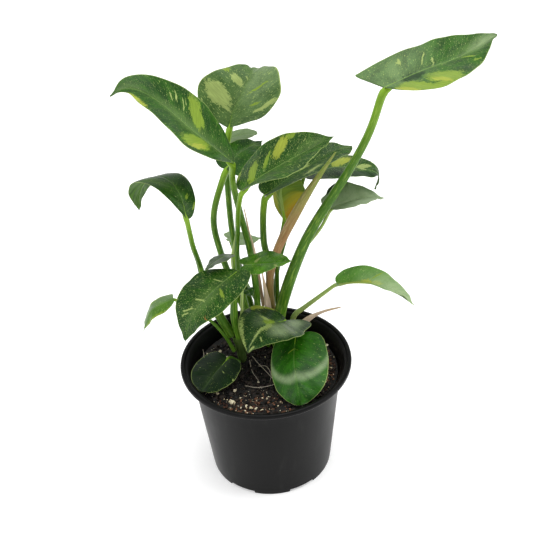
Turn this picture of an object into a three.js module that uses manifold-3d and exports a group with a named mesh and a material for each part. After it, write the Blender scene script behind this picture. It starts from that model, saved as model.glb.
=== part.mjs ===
// Potted variegated green congo philodendron.
// Millimetres, +Z up, +Y away from the front. The origin is the centre of the pot's base, on the table.
import * as THREE from "three";
import { mergeVertices } from "three/addons/utils/BufferGeometryUtils.js";
import Module from "manifold-3d";

const wasm = await Module();
wasm.setup();

// Driving sizes of the pot
const rimRadius = 82.5;
const potHeight = 125;
const baseRadius = 59.9;
const shoulderRadius = 71.5;
const shoulderHeight = 108;
const wallThickness = 1.5;
const footHeight = 3.2;
const footWidth = 4.5;
const drainNotches = 6;
const drainNotchWidth = 27;
const drainNotchHeight = 3;
const firstNotchAngle = 237.5;
const potSides = 60;

// Driving sizes of the potting mix
const mixHeight = 110;
const mixRoughness = 0.8;
const mixSides = 48;

// Driving sizes of the plant
const gap = 0.3;
const bladeThickness = 0.8;
const stalkSides = 8;
const stalkSteps = 9;
const stemSides = 10;

// Half outlines of a blade, from the stalk to the tip.
// Each point is the way along the rib as a share of its length, and the half width as a share of
// the widest. The side veins to the ten points leave the rib at the vein feet.
const lobeShare = 0.06;
const ovate = [
  [0, 0],
  [-lobeShare, 0.2],
  [-lobeShare, 0.5],
  [0.01, 0.76],
  [0.12, 0.94],
  [0.32, 1],
  [0.58, 0.81],
  [0.8, 0.43],
  [0.93, 0.13],
  [1, 0],
];
const round = [
  [0, 0],
  [-lobeShare, 0.2],
  [-lobeShare, 0.5],
  [0.02, 0.76],
  [0.16, 0.92],
  [0.42, 1],
  [0.7, 0.88],
  [0.88, 0.6],
  [0.97, 0.28],
  [1, 0],
];
const wedge = [
  [0, 0],
  [0, 0.08],
  [0.04, 0.22],
  [0.13, 0.5],
  [0.26, 0.82],
  [0.45, 0.98],
  [0.68, 0.75],
  [0.86, 0.37],
  [0.95, 0.12],
  [1, 0],
];
const tapered = [
  [0, 0],
  [0, 0.08],
  [0.03, 0.25],
  [0.1, 0.55],
  [0.2, 0.85],
  [0.36, 1],
  [0.58, 0.84],
  [0.8, 0.45],
  [0.93, 0.14],
  [1, 0],
];
const full = [
  [0, 0],
  [-lobeShare, 0.15],
  [-lobeShare * 0.3, 0.38],
  [0.05, 0.62],
  [0.15, 0.86],
  [0.35, 1],
  [0.6, 0.86],
  [0.82, 0.47],
  [0.94, 0.16],
  [1, 0],
];
const obovate = [
  [0, 0],
  [0.03, 0.1],
  [0.1, 0.3],
  [0.24, 0.6],
  [0.42, 0.87],
  [0.6, 1],
  [0.76, 0.73],
  [0.89, 0.35],
  [0.96, 0.11],
  [1, 0],
];
const eared = [
  [0, 0],
  [-lobeShare * 0.4, 0.3],
  [-lobeShare, 0.78],
  [-0.04, 0.86],
  [0.1, 0.96],
  [0.36, 0.98],
  [0.62, 0.93],
  [0.83, 0.58],
  [0.95, 0.2],
  [1, 0],
];
const drawn = [
  [0, 0],
  [-lobeShare, 0.2],
  [-lobeShare, 0.52],
  [0.02, 0.68],
  [0.12, 0.92],
  [0.29, 1],
  [0.49, 0.8],
  [0.7, 0.44],
  [0.88, 0.14],
  [1, 0],
];
const veinFeet = [0, 0, 0, 0.02, 0.07, 0.19, 0.41, 0.64, 0.84, 1];
const outlineStations = [0, 1, 2, 2.5, 3, 3.5, 4, 4.5, 5, 5.5, 6, 6.5, 7, 7.5, 8, 8.5, 9];
const acrossStations = [0, 0.5, 1];
const veinBow = 0.05;

// The leaves, from the highest down. Angles are in degrees and pairs are left, right, seen from
// the stalk towards the tip. rib is the line of the midrib and width is the blade's full width.
// outline is the shape of both halves, or of the left one where right gives the other its own.
// fold lifts each half at the rib, curl bends each half down at its margin, roll and twist turn the
// blade about its rib, sides are shares of the half width, and lobes are shares of the length.
// stalk is the line of the leaf stalk up to the blade, and thick is its radius at the two ends, or at
// more places evenly spaced between them.
const leaves = [
  {
    name: "leaf_01",
    rib: [[114, 22, 388], [145, 29, 397], [180, 38, 404], [212, 48, 417]],
    width: 78, outline: eared, right: tapered, roll: -7, twist: 4, fold: [13, 2], curl: [-4, -2],
    sides: [1, 1.13], lobes: [0.13, 0],
    stalk: [[13.8, 34, 112], [16, 36, 142], [22, 38, 166], [34, 40, 201], [49, 39, 238], [69, 35, 276],
      [87, 29, 311], [103, 24, 348]],
    thick: [6.2, 6, 4.9, 3.9, 3.6],
  },
  {
    name: "leaf_02",
    rib: [[-16, 20, 328], [-47, 24, 358], [-76, 28, 388], [-97, 28, 400], [-113, 20, 398]],
    width: 70, outline: tapered, twist: -18, fold: [12, 22], curl: [-8, -12],
    sides: [1.06, 1], lobes: [0, 0.01],
    stalk: [[-3, 37, 112], [-4, 39, 150], [-5, 40, 190], [-8, 40.5, 225], [-12, 39, 252], [-17, 35, 288],
      [-18.5, 32, 308]],
    thick: [3.6, 3],
  },
  {
    name: "leaf_03",
    rib: [[-19, 88, 328], [-14, 92, 342], [-4, 99, 358], [4, 110, 369], [7, 124, 370]],
    width: 84, outline: tapered, right: obovate, roll: -2, fold: [38, 12], curl: [-4, -4],
    sides: [0.92, 1.08], lobes: [0, 0],
    stalk: [[-8.5, 53.5, 112], [-10, 54, 145], [-19, 59, 190], [-24, 70, 232], [-24, 88, 286]],
    thick: [3, 3],
  },
  {
    name: "leaf_04",
    rib: [[-11, 14, 303], [8, 12, 318], [41, 5, 340], [69, -2, 358]],
    width: 68, outline: ovate, right: obovate, roll: 2, twist: 22, fold: [16, 20], curl: [-6, -6],
    sides: [1, 1.02], lobes: [0.04, 0],
    stalk: [[-12, 38, 112], [-14, 38.5, 150], [-19, 38.5, 190], [-20, 38.5, 220], [-18, 36, 242],
      [-15.5, 24, 276]],
    thick: [2.6, 2.4],
  },
  {
    name: "leaf_05",
    rib: [[10, 44, 280], [38, 53, 294], [71, 61, 309], [92, 66, 312]],
    width: 50, outline: ovate, right: round, roll: -15, twist: 22, fold: [20, 12], sides: [1, 1.1],
    lobes: [0.02, 0.02],
    stalk: [[3, 54, 112], [8, 54, 163], [8.5, 54, 203], [6, 53, 222], [7, 50, 255]],
    thick: [3, 3.3],
  },
  {
    name: "leaf_06",
    rib: [[-24, 60, 301], [-15, 66, 309], [-3, 73, 314], [11, 80, 316]],
    width: 60, outline: ovate, fold: [6, 2], sides: [0.7, 1], lobes: [0.04, 0.02],
    stalk: [[-14, 46, 112], [-16, 47, 140], [-25, 47, 175], [-36, 48, 220], [-39, 52, 257]],
    thick: [3.2, 3.1],
  },
  {
    name: "leaf_07",
    rib: [[48, 68, 286], [81, 72, 288], [115, 71, 280], [113, 63, 266]],
    width: 50, outline: ovate, roll: -6, twist: 8, fold: [3, 3], lobes: [0.02, 0.02],
    stalk: [[9.5, 57.5, 112], [12, 60, 150], [18, 61, 185], [27, 62, 218], [38, 65, 247]],
    thick: [2.4, 1.8],
  },
  {
    name: "leaf_08",
    rib: [[-60, -4, 291], [-62, 1, 304], [-68, 10, 315], [-79, 20, 319], [-92, 29, 313], [-102, 37, 296],
      [-106, 42, 274]],
    width: 50, outline: wedge, right: full, roll: 17, twist: -20, fold: [8, -4], curl: [-10, -10],
    sides: [0.88, 0.8], lobes: [0, 0.02],
    stalk: [[-31, 17, 142], [-40, 18, 162], [-47.5, 21, 184], [-53.5, 25.5, 208], [-55.5, 19, 229],
      [-58, 5, 256]],
    thick: [4, 5, 3.4, 2.5, 2.4, 2.3],
  },
  {
    name: "leaf_09",
    rib: [[27, 54, 244], [25, 57, 261], [25, 60, 275], [31, 64, 287], [41, 70, 297]],
    width: 58, outline: wedge, roll: -142, fold: [4, 50], sides: [1, 0.45], lobes: [0, 0],
    stalk: [[15.5, 54.5, 112], [16.5, 53.5, 180], [20, 53, 213]],
    thick: [2.5, 2.3],
  },
  {
    name: "leaf_10",
    rib: [[70, 50, 257], [98, 56, 262], [122, 60, 258]],
    width: 48, outline: drawn, right: tapered, fold: [28, 20], curl: [-8, -4], lobes: [0.1, 0.02],
    stalk: [[20, 51.5, 112], [23, 52, 160], [38, 51, 203], [60, 47, 238]],
    thick: [2.2, 1.6],
  },
  {
    name: "leaf_11",
    rib: [[-14, 20, 221], [-2, 14.5, 224.5], [13, 8.5, 228.5], [30, 2, 233.5]],
    width: 43, outline: ovate, fold: [6, 6], curl: [-12, -12], sides: [1, 0.86], lobes: [0.14, 0],
    stalk: [[-20.5, 17.5, 142], [-19, 17.8, 178], [-16.5, 18, 203]],
    thick: [1.8, 1.4],
  },
  {
    name: "leaf_12",
    rib: [[-20, 2, 227], [-44.5, -14.5, 217], [-63, -29, 204], [-71, -40, 183]],
    width: 60, outline: ovate, right: tapered, roll: 16, twist: -18, fold: [0, 8], curl: [-6, -6],
    sides: [1, 1.1], lobes: [0.06, 0],
    stalk: [[-24.5, 12, 142], [-27, 10, 165], [-26, 8, 190], [-23.5, 6, 207]],
    thick: [2.8, 3.8, 2.6, 1.8],
  },
  {
    name: "leaf_13",
    rib: [[-23, 27, 228], [-32, 22, 230], [-42, 15, 228.5], [-50, 8, 225]],
    width: 30, outline: tapered, roll: 18, fold: [4, 0], sides: [1, 0.75], lobes: [0, 0],
    stalk: [[-26.5, 23, 142], [-24, 27, 185]],
    thick: [2, 1.4],
  },
  {
    name: "leaf_14",
    rib: [[-28, 96, 202], [-12, 100, 197], [4, 104, 194]],
    width: 27, outline: ovate, fold: [4, 4], lobes: [0.12, 0.12],
    stalk: [[-2.5, 58, 112], [-3, 66, 135], [-18, 82, 168]],
    thick: [2, 1.4],
  },
  {
    name: "leaf_15",
    rib: [[-82, 8, 197], [-101, 3, 190], [-108, 0, 181], [-112, -3, 170]],
    width: 28, outline: full, right: ovate, roll: 12, fold: [-8, -8], sides: [1, 1.35],
    lobes: [0.02, 0.02],
    stalk: [[-30, 12.5, 126], [-38, 10, 148], [-52, 11, 168]],
    thick: [2, 1.4],
  },
  {
    name: "leaf_16",
    rib: [[73, 30, 185], [100, 30, 184], [128, 25, 173], [146, 20, 160]],
    width: 44, outline: full, right: ovate, roll: -7, fold: [21, 26], curl: [-4, -4], lobes: [0.02, 0.02],
    stalk: [[24, 43.5, 112], [31, 41, 141], [40, 38, 152], [56, 33, 169]],
    thick: [3.6, 2.8, 2.2, 1.8],
  },
  {
    name: "leaf_17",
    rib: [[-15, 34, 182], [-12, 30, 183], [-10, 26, 179]],
    width: 14, outline: ovate, fold: [4, 4], lobes: [0.03, 0.03],
    stalk: [[-22, 22.5, 142], [-18, 28, 165]],
    thick: [1.6, 1],
  },
  {
    name: "leaf_18",
    rib: [[22, 12, 159], [2, -6, 168], [-12, -24, 163], [-16, -31, 157]],
    width: 62, outline: ovate, fold: [-2, 12], curl: [0, -8], sides: [1.05, 1], lobes: [0.3, 0.04],
    stalk: [[4, 34, 112], [6, 29, 132], [14, 19, 150]],
    thick: [2.2, 1.7],
  },
  {
    name: "leaf_19",
    rib: [[30, 2, 149], [26, -24, 139], [28, -51, 124], [30, -60, 115]],
    width: 58, outline: round, roll: 15, fold: [-6, -6], curl: [-10, -10], sides: [1.12, 0.84],
    lobes: [0.04, 0.04],
    stalk: [[25, 34, 112], [26, 28, 126], [28, 17, 140]],
    thick: [2.4, 1.9],
  },
  {
    name: "leaf_20",
    rib: [[-37, 0, 126], [-50, -18, 123.5], [-62, -37, 119.5]],
    width: 44, outline: round, fold: [4, 10], curl: [-6, -2], lobes: [0.06, 0.06],
    stalk: [[-26.5, 11.5, 112], [-34, 7, 122]],
    thick: [2, 1.6],
  },
  {
    name: "leaf_21",
    rib: [[-29, 104, 307], [-17, 105, 309], [-5, 105, 311], [7, 104, 312]],
    width: 22, outline: round, roll: 2, fold: [4, 4], lobes: [0.02, 0.02],
    stalk: [[-8.5, 61.5, 112], [-10, 63, 140], [-18.5, 67.5, 184], [-23.5, 78.5, 226], [-25.5, 98, 280]],
    thick: [2, 1.4],
  },
];

// The three short stems, each rooted in a hole of the potting mix
const stems = [
  { name: "stem_left", line: [[-22, 18, 100], [-24, 18, 128], [-26, 17.5, 140.5]], radii: [4.3, 4.6, 5.5] },
  { name: "stem_middle", line: [[-3, 46, 100], [-3, 46, 120], [-3, 46, 139]], radii: [5, 4.8, 4] },
  { name: "stem_right", line: [[11, 47, 100], [11, 47, 120], [10, 47, 134.5]], radii: [5, 5, 5] },
];

// The rolled new leaf and the dry or pale sheaths of earlier leaves
const sprouts = [
  {
    name: "new_leaf_spear",
    line: [[10, 47, 135], [9, 46, 179], [18, 42, 219], [44, 33, 278], [73, 28, 327]],
    radii: [4.2, 4, 3.6, 3.7, 4.2, 4.5, 3.8, 2.4, 0.7],
    flat: 0.8,
    colour: 0xa98f66,
  },
  {
    name: "sheath_right",
    line: [[33, 37, 112], [41, 33, 138], [56, 32, 150], [76, 29, 157]],
    radii: [2.6, 3.4, 2.4, 0.6],
    flat: 0.5,
    colour: 0xd8b49a,
  },
  {
    name: "sheath_middle",
    line: [[1, 47, 152], [-1, 46, 185], [-4, 45, 221], [-7, 43, 240], [-10, 41, 268]],
    radii: [1.2, 1.1, 0.9, 0.5],
    flat: 0.7,
    colour: 0xc9a08a,
  },
  {
    name: "sheath_centre",
    line: [[6, 39.5, 130], [6, 39.5, 157], [2.5, 40.5, 196]],
    radii: [2.4, 2.2, 0.6],
    flat: 0.7,
    colour: 0xc7a184,
  },
  {
    name: "sheath_pale",
    line: [[-16.5, 43, 160], [-24, 42.5, 207], [-18, 43, 243], [-16, 43, 273]],
    radii: [1.4, 1.8, 1.6, 1],
    flat: 0.8,
    colour: 0xc3cf9b,
  },
];

const colours = {
  pot: new THREE.MeshStandardMaterial({ color: 0x2a2a2c, roughness: 0.55, metalness: 0 }),
  mix: new THREE.MeshStandardMaterial({ color: 0x2b211b, roughness: 0.95, metalness: 0 }),
  blade: new THREE.MeshStandardMaterial({ color: 0x35632f, roughness: 0.45, metalness: 0 }),
  stalk: new THREE.MeshStandardMaterial({ color: 0x5f8c3c, roughness: 0.5, metalness: 0 }),
  stem: new THREE.MeshStandardMaterial({ color: 0x4a6a35, roughness: 0.6, metalness: 0 }),
};

const radians = THREE.MathUtils.degToRad;

// A smooth curve through points, walked by length
function smoothLine(points) {
  const line = new THREE.CatmullRomCurve3(
    points.map((point) => new THREE.Vector3(...point)),
    false,
    "catmullrom",
    0.5,
  );
  line.arcLengthDivisions = 400;
  return line;
}

// A value from a list of evenly spaced ones
function between(values, share) {
  const place = share * (values.length - 1);
  const low = Math.min(Math.floor(place), values.length - 2);
  return THREE.MathUtils.lerp(values[low], values[low + 1], place - low);
}

// The blade's rib, its length and the direction of its right side before roll, fold and twist
function bladeLayout(leaf) {
  const rib = smoothLine(leaf.rib);
  const chord = rib.getPoint(1).sub(rib.getPoint(0)).normalize();
  const level = new THREE.Vector3().crossVectors(chord, new THREE.Vector3(0, 0, 1)).normalize();
  const over = new THREE.Vector3().crossVectors(level, chord);
  const roll = radians(leaf.roll ?? 0);
  const side = level.multiplyScalar(Math.cos(roll)).addScaledVector(over, -Math.sin(roll));
  return { rib, length: rib.getLength(), side };
}

// The place and the three directions on the rib at a distance from the stalk
function ribFrame(layout, leaf, along) {
  const share = THREE.MathUtils.clamp(along / layout.length, 0, 1);
  const ahead = layout.rib.getPointAt(Math.min(share + 0.02, 1));
  const behind = layout.rib.getPointAt(Math.max(share - 0.02, 0));
  const forward = ahead.sub(behind).normalize();
  const place = layout.rib.getPointAt(share);
  if (along < 0) place.addScaledVector(forward, along);
  const side = layout.side.clone().addScaledVector(forward, -layout.side.dot(forward)).normalize();
  const up = new THREE.Vector3().crossVectors(side, forward);
  const turn = radians(leaf.twist ?? 0) * share;
  const turnedSide = side.clone().multiplyScalar(Math.cos(turn)).addScaledVector(up, -Math.sin(turn));
  const turnedUp = up.multiplyScalar(Math.cos(turn)).addScaledVector(side, Math.sin(turn));
  return { place, side: turnedSide, up: turnedUp };
}

// A point of the blade: across is negative on the left, height is measured from the middle layer
function bladePoint(layout, leaf, along, across, height) {
  const frame = ribFrame(layout, leaf, along);
  const hand = across < 0 ? 0 : 1;
  const sign = across < 0 ? -1 : 1;
  const distance = Math.abs(across);
  const lift = radians((leaf.fold ?? [0, 0])[hand]);
  const bend = radians((leaf.curl ?? [0, 0])[hand]) / (leaf.width / 2);
  const end = lift + bend * distance;
  const straight = Math.abs(bend) < 1e-6;
  const out = straight ? distance * Math.cos(lift) : (Math.sin(end) - Math.sin(lift)) / bend;
  const rise = straight ? distance * Math.sin(lift) : (Math.cos(lift) - Math.cos(end)) / bend;
  const point = frame.place.clone();
  point.addScaledVector(frame.side, sign * out);
  point.addScaledVector(frame.up, rise);
  if (distance === 0) return point.addScaledVector(frame.up, height);
  point.addScaledVector(frame.side, -sign * Math.sin(end) * height);
  return point.addScaledVector(frame.up, Math.cos(end) * height);
}

// The flat places of one half of the blade: rows from stalk to tip, columns from rib to margin
function bladeGrid(leaf, length, hand) {
  const lobe = leaf.lobes[hand];
  const outline = hand === 1 && leaf.right ? leaf.right : leaf.outline;
  const points = outline.map(([along, across], index) => {
    const scaled = along < 0 ? (along * lobe) / lobeShare : along;
    return new THREE.Vector3(scaled, across, veinFeet[index]);
  });
  const margin = new THREE.CatmullRomCurve3(points, false, "catmullrom", 0.5);
  const halfWidth = (leaf.width / 2) * (leaf.sides ?? [1, 1])[hand];
  const sign = hand === 0 ? -1 : 1;
  return outlineStations.map((station) => {
    const at = margin.getPoint(station / (points.length - 1));
    const foot = Math.max(at.z, 0);
    return acrossStations.map((share) => {
      const bow = veinBow * share * (1 - share) * at.y * Math.min(foot / 0.1, 1);
      const along = length * (foot + share * (at.x - foot) - bow);
      return [along, sign * halfWidth * Math.max(at.y, 0) * share];
    });
  });
}

// The blade as a thin closed solid
function bladeSolid(leaf) {
  const layout = bladeLayout(leaf);
  const positions = [];
  const indices = [];
  const known = new Map();
  const vertex = ([along, across], layer) => {
    const key = [along.toFixed(3), Math.abs(across) < 1e-3 ? 0 : across.toFixed(3), layer].join();
    if (!known.has(key)) {
      const point = bladePoint(layout, leaf, along, Math.abs(across) < 1e-3 ? 0 : across,
        (layer * bladeThickness) / 2);
      known.set(key, positions.length / 3);
      positions.push(point.x, point.y, point.z);
    }
    return known.get(key);
  };
  const face = (a, b, c, turned) => {
    if (a === b || b === c || c === a) return;
    indices.push(...(turned ? [c, b, a] : [a, b, c]));
  };
  const quad = (a, b, c, d, turned) => {
    face(a, b, c, turned);
    face(a, c, d, turned);
  };
  for (const hand of [0, 1]) {
    const grid = bladeGrid(leaf, layout.length, hand);
    const left = hand === 0;
    const margin = acrossStations.length - 1;
    for (let row = 0; row < grid.length - 1; row += 1) {
      for (const layer of [1, -1]) {
        for (let column = 0; column < margin; column += 1) {
          quad(
            vertex(grid[row][column], layer),
            vertex(grid[row][column + 1], layer),
            vertex(grid[row + 1][column + 1], layer),
            vertex(grid[row + 1][column], layer),
            left !== (layer < 0),
          );
        }
      }
      quad(
        vertex(grid[row][margin], 1),
        vertex(grid[row][margin], -1),
        vertex(grid[row + 1][margin], -1),
        vertex(grid[row + 1][margin], 1),
        left,
      );
    }
  }
  const solid = new THREE.BufferGeometry();
  solid.setAttribute("position", new THREE.Float32BufferAttribute(positions, 3));
  solid.setIndex(indices);
  solid.computeVertexNormals();
  return solid;
}

// A round or flattened tapering rod bent along a line that stops short of its end by a trim
function rodSolid({ line, radii, trim = 0, flat = 1, sides = stalkSides, steps = stalkSteps }) {
  const curve = smoothLine(line);
  const used = 1 - trim / curve.getLength();
  const frames = curve.computeFrenetFrames(steps * 4, false);
  const solid = new THREE.CylinderGeometry(1, 1, 1, sides, steps);
  solid.rotateX(Math.PI / 2);
  const place = solid.attributes.position;
  for (let index = 0; index < place.count; index += 1) {
    const share = THREE.MathUtils.clamp(place.getZ(index) + 0.5, 0, 1);
    const radius = between(radii, share);
    const frame = Math.round(share * used * steps * 4);
    const centre = curve.getPointAt(share * used);
    centre.addScaledVector(frames.normals[frame], place.getX(index) * radius);
    centre.addScaledVector(frames.binormals[frame], place.getY(index) * radius * flat);
    place.setXYZ(index, centre.x, centre.y, centre.z);
  }
  solid.computeVertexNormals();
  return solid;
}

// The stalk of a leaf runs up to just under the blade
function stalkSolid(leaf) {
  const foot = leaf.thick[0];
  const top = leaf.thick.at(-1);
  return rodSolid({
    line: [...leaf.stalk, leaf.rib[0]],
    radii: leaf.thick.length > 2 ? leaf.thick : [foot, (foot + top) / 2, top, top],
    trim: top + 1,
  });
}

// three.js geometry to a manifold-3d solid and back
function toSolid(geometry) {
  const plain = geometry.clone();
  plain.deleteAttribute("normal");
  plain.deleteAttribute("uv");
  const merged = mergeVertices(plain, 1e-4);
  return new wasm.Manifold(
    new wasm.Mesh({
      numProp: 3,
      vertProperties: merged.attributes.position.array,
      triVerts: new Uint32Array(merged.index.array),
    }),
  );
}

function toGeometry(solid) {
  const mesh = solid.getMesh();
  const geometry = new THREE.BufferGeometry();
  geometry.setAttribute("position", new THREE.BufferAttribute(mesh.vertProperties, 3));
  geometry.setIndex(new THREE.BufferAttribute(mesh.triVerts, 1));
  geometry.computeVertexNormals();
  return geometry;
}

// A profile of radius and height pairs turned about the Z axis
function turned(profile, sides) {
  const points = profile.map(([radius, height]) => new THREE.Vector2(radius, height));
  return new THREE.LatheGeometry(points, sides).rotateX(Math.PI / 2);
}

// The pot's outside radius at a height of its straight wall
function wallRadius(height) {
  return THREE.MathUtils.lerp(baseRadius, shoulderRadius, height / shoulderHeight);
}

// Thin moulded pot: foot ring, tapered wall, flared shoulder and rolled rim
function potSolid() {
  const footInside = baseRadius - footWidth;
  const floorTop = footHeight + wallThickness;
  const discRadius = 33;
  const profile = [
    [0, 0],
    [discRadius, 0],
    [discRadius + 2, footHeight],
    [footInside - 1.5, footHeight],
    [footInside, 0],
    [baseRadius - 0.8, 0],
    [baseRadius, 0.8],
    [wallRadius(footHeight), footHeight],
    [shoulderRadius, shoulderHeight],
    [shoulderRadius + 0.9, shoulderHeight + 4.5],
    [shoulderRadius + 3.5, shoulderHeight + 8.5],
    [shoulderRadius + 7.5, shoulderHeight + 11],
    [rimRadius - 0.7, potHeight - 4.6],
    [rimRadius, potHeight - 3],
    [rimRadius - 0.5, potHeight - 0.8],
    [rimRadius - 2, potHeight],
    [rimRadius - 3.8, potHeight - 0.5],
    [rimRadius - 4.6, potHeight - 2.2],
    [rimRadius - 6.6, potHeight - 3.2],
    [shoulderRadius + 2.4, shoulderHeight + 10.6],
    [shoulderRadius - 0.4, shoulderHeight + 6],
    [shoulderRadius - wallThickness, shoulderHeight],
    [wallRadius(floorTop + 1) - wallThickness, floorTop + 1],
    [wallRadius(floorTop) - wallThickness - 1, floorTop],
    [discRadius + 1, floorTop],
    [discRadius - 1, wallThickness],
    [0, wallThickness],
  ];
  const slots = [];
  for (let index = 0; index < drainNotches; index += 1) {
    const angle = radians(firstNotchAngle + (index * 360) / drainNotches);
    const slot = new THREE.BoxGeometry(footWidth * 3, drainNotchWidth, drainNotchHeight + 1);
    slot.translate(baseRadius, 0, drainNotchHeight - (drainNotchHeight + 1) / 2);
    slot.rotateZ(angle);
    slots.push(toSolid(slot));
  }
  const body = toSolid(turned(profile, potSides));
  return toGeometry(body.subtract(wasm.Manifold.union(slots)));
}

// Uneven top of the potting mix
function mixRise(x, y) {
  const coarse = Math.sin(x * 0.11 + 1) * Math.cos(y * 0.13 - 0.5);
  const fine = Math.sin(x * 0.31 - y * 0.23) * 0.4;
  return mixRoughness * (coarse + fine);
}

// The potting mix fills the pot up to below the rim, with a hole for each stem
function mixSolid() {
  const floorTop = footHeight + wallThickness + gap;
  const discRadius = 33;
  const inside = (height) => wallRadius(height) - wallThickness - gap - 0.1;
  const profile = [
    [0, wallThickness + gap],
    [discRadius - 1.6, wallThickness + gap],
    [discRadius + 0.6, floorTop],
    [inside(floorTop) - 1.2, floorTop],
    [inside(floorTop + 1.2) - 0.3, floorTop + 1.2],
    [inside(mixHeight - 3), mixHeight - 3],
    [inside(mixHeight - 3) - 0.8, mixHeight],
    [58, mixHeight],
    [46, mixHeight],
    [34, mixHeight],
    [22, mixHeight],
    [11, mixHeight],
    [0, mixHeight],
  ];
  const geometry = turned(profile, mixSides);
  const place = geometry.attributes.position;
  for (let index = 0; index < place.count; index += 1) {
    if (place.getZ(index) < mixHeight - 1) continue;
    const rise = mixRise(place.getX(index), place.getY(index));
    place.setZ(index, mixHeight + rise);
  }
  const holes = stems.map((stem) => {
    const radius = Math.max(...stem.radii.slice(0, 2)) + gap + 0.3;
    const foot = stem.line[0];
    const hole = new THREE.CylinderGeometry(radius, radius, 40, 16).rotateX(Math.PI / 2);
    return toSolid(hole.translate(foot[0], foot[1], foot[2] - gap + 20));
  });
  return toGeometry(toSolid(geometry).subtract(wasm.Manifold.union(holes)));
}

const group = new THREE.Group();
group.name = "potted_philodendron";

function add(name, geometry, material) {
  const mesh = new THREE.Mesh(geometry, material);
  mesh.name = name;
  group.add(mesh);
}

add("nursery_pot", potSolid(), colours.pot);
add("potting_mix", mixSolid(), colours.mix);
for (const stem of stems) {
  add(stem.name, rodSolid({ line: stem.line, radii: stem.radii, sides: stemSides, steps: 6 }), colours.stem);
}
for (const leaf of leaves) {
  add(`${leaf.name}_stalk`, stalkSolid(leaf), colours.stalk);
  add(`${leaf.name}_blade`, bladeSolid(leaf), colours.blade);
}
for (const sprout of sprouts) {
  const material = new THREE.MeshStandardMaterial({ color: sprout.colour, roughness: 0.6, metalness: 0 });
  add(sprout.name, rodSolid(sprout), material);
}

export default group;
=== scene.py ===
"""Looks of a potted variegated green congo philodendron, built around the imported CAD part."""

import math
import random

import bmesh
import bpy
import numpy as np
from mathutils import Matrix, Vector


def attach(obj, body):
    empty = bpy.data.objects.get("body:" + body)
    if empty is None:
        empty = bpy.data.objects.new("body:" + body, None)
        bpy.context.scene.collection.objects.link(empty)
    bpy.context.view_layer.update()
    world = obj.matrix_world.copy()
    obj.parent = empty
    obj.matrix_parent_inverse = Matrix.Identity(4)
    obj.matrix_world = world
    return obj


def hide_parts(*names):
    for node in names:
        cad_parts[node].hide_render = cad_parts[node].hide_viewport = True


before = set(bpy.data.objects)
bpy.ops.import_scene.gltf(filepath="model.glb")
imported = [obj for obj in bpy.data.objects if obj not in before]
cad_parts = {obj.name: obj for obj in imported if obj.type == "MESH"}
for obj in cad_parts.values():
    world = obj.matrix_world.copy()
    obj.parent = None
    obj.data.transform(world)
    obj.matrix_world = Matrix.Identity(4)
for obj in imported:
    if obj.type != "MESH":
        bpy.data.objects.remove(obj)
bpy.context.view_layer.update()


def srgb(red, green, blue):
    """A linear colour from the usual 0 to 255 values."""
    values = [c / 255 for c in (red, green, blue)]
    return tuple(c / 12.92 if c <= 0.04045 else ((c + 0.055) / 1.055) ** 2.4 for c in values)


def dim(colour, share):
    """A darker colour."""
    return tuple(c * share for c in colour)


# Lengths are in millimetres, as in the CAD part, and angles in degrees, unless a comment says otherwise
MM = 0.001
TINY = 1e-6
# In metres
WELD_DISTANCE = 2e-6
SHORTEST_EDGE = 1e-6

# Colours of the blades
DEEP = srgb(20, 56, 6)
MID = srgb(46, 92, 14)
# A grey-green that is partly the blades' silvery colour and partly painted sheen
GREY_AND_SHEEN = srgb(88, 116, 58)
# The whitish grey-green of painted sheens and highlights
PAINTED_SHEEN_COLOUR = srgb(150, 168, 128)
LINE = srgb(116, 148, 74)
PALE = srgb(150, 168, 96)
UNDER = srgb(84, 120, 48)
UNDER_DEEP = srgb(58, 92, 32)
SHADES = {
    "dark": DEEP, "lime": srgb(124, 150, 48), "yellow": srgb(152, 164, 58), "pale": PALE,
    "rust": srgb(150, 96, 44),
}

# Shape of the blades. A half outline runs from the stalk to the tip: place on the rib and half width as
# shares. VEIN_FEET are the places on the rib where the side veins to those points leave it.
LOBE_SHARE = 0.06
VEIN_FEET = (0, 0, 0, 0.02, 0.07, 0.19, 0.41, 0.64, 0.84, 1)
LOBED = [(0, 0), (-LOBE_SHARE, 0.2), (-LOBE_SHARE, 0.5)]
OUTLINES = {
    "ovate": LOBED + [
        (0.01, 0.76), (0.12, 0.94), (0.32, 1), (0.58, 0.81), (0.8, 0.43), (0.93, 0.13), (1, 0),
    ],
    "round": LOBED + [
        (0.02, 0.76), (0.16, 0.92), (0.42, 1), (0.7, 0.88), (0.88, 0.6), (0.97, 0.28), (1, 0),
    ],
    "drawn": LOBED + [
        (0.02, 0.68), (0.12, 0.92), (0.29, 1), (0.49, 0.8), (0.7, 0.44), (0.88, 0.14), (1, 0),
    ],
    "wedge": [
        (0, 0), (0, 0.08), (0.04, 0.22), (0.13, 0.5), (0.26, 0.82), (0.45, 0.98), (0.68, 0.75),
        (0.86, 0.37), (0.95, 0.12), (1, 0),
    ],
    "tapered": [
        (0, 0), (0, 0.08), (0.03, 0.25), (0.1, 0.55), (0.2, 0.85), (0.36, 1), (0.58, 0.84), (0.8, 0.45),
        (0.93, 0.14), (1, 0),
    ],
    "full": [
        (0, 0), (-LOBE_SHARE, 0.15), (-LOBE_SHARE * 0.3, 0.38), (0.05, 0.62), (0.15, 0.86), (0.35, 1),
        (0.6, 0.86), (0.82, 0.47), (0.94, 0.16), (1, 0),
    ],
    "obovate": [
        (0, 0), (0.03, 0.1), (0.1, 0.3), (0.24, 0.6), (0.42, 0.87), (0.6, 1), (0.76, 0.73), (0.89, 0.35),
        (0.96, 0.11), (1, 0),
    ],
    "eared": [
        (0, 0), (-LOBE_SHARE * 0.4, 0.3), (-LOBE_SHARE, 0.78), (-0.04, 0.86), (0.1, 0.96), (0.36, 0.98),
        (0.62, 0.93), (0.83, 0.58), (0.95, 0.2), (1, 0),
    ],
}
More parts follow.
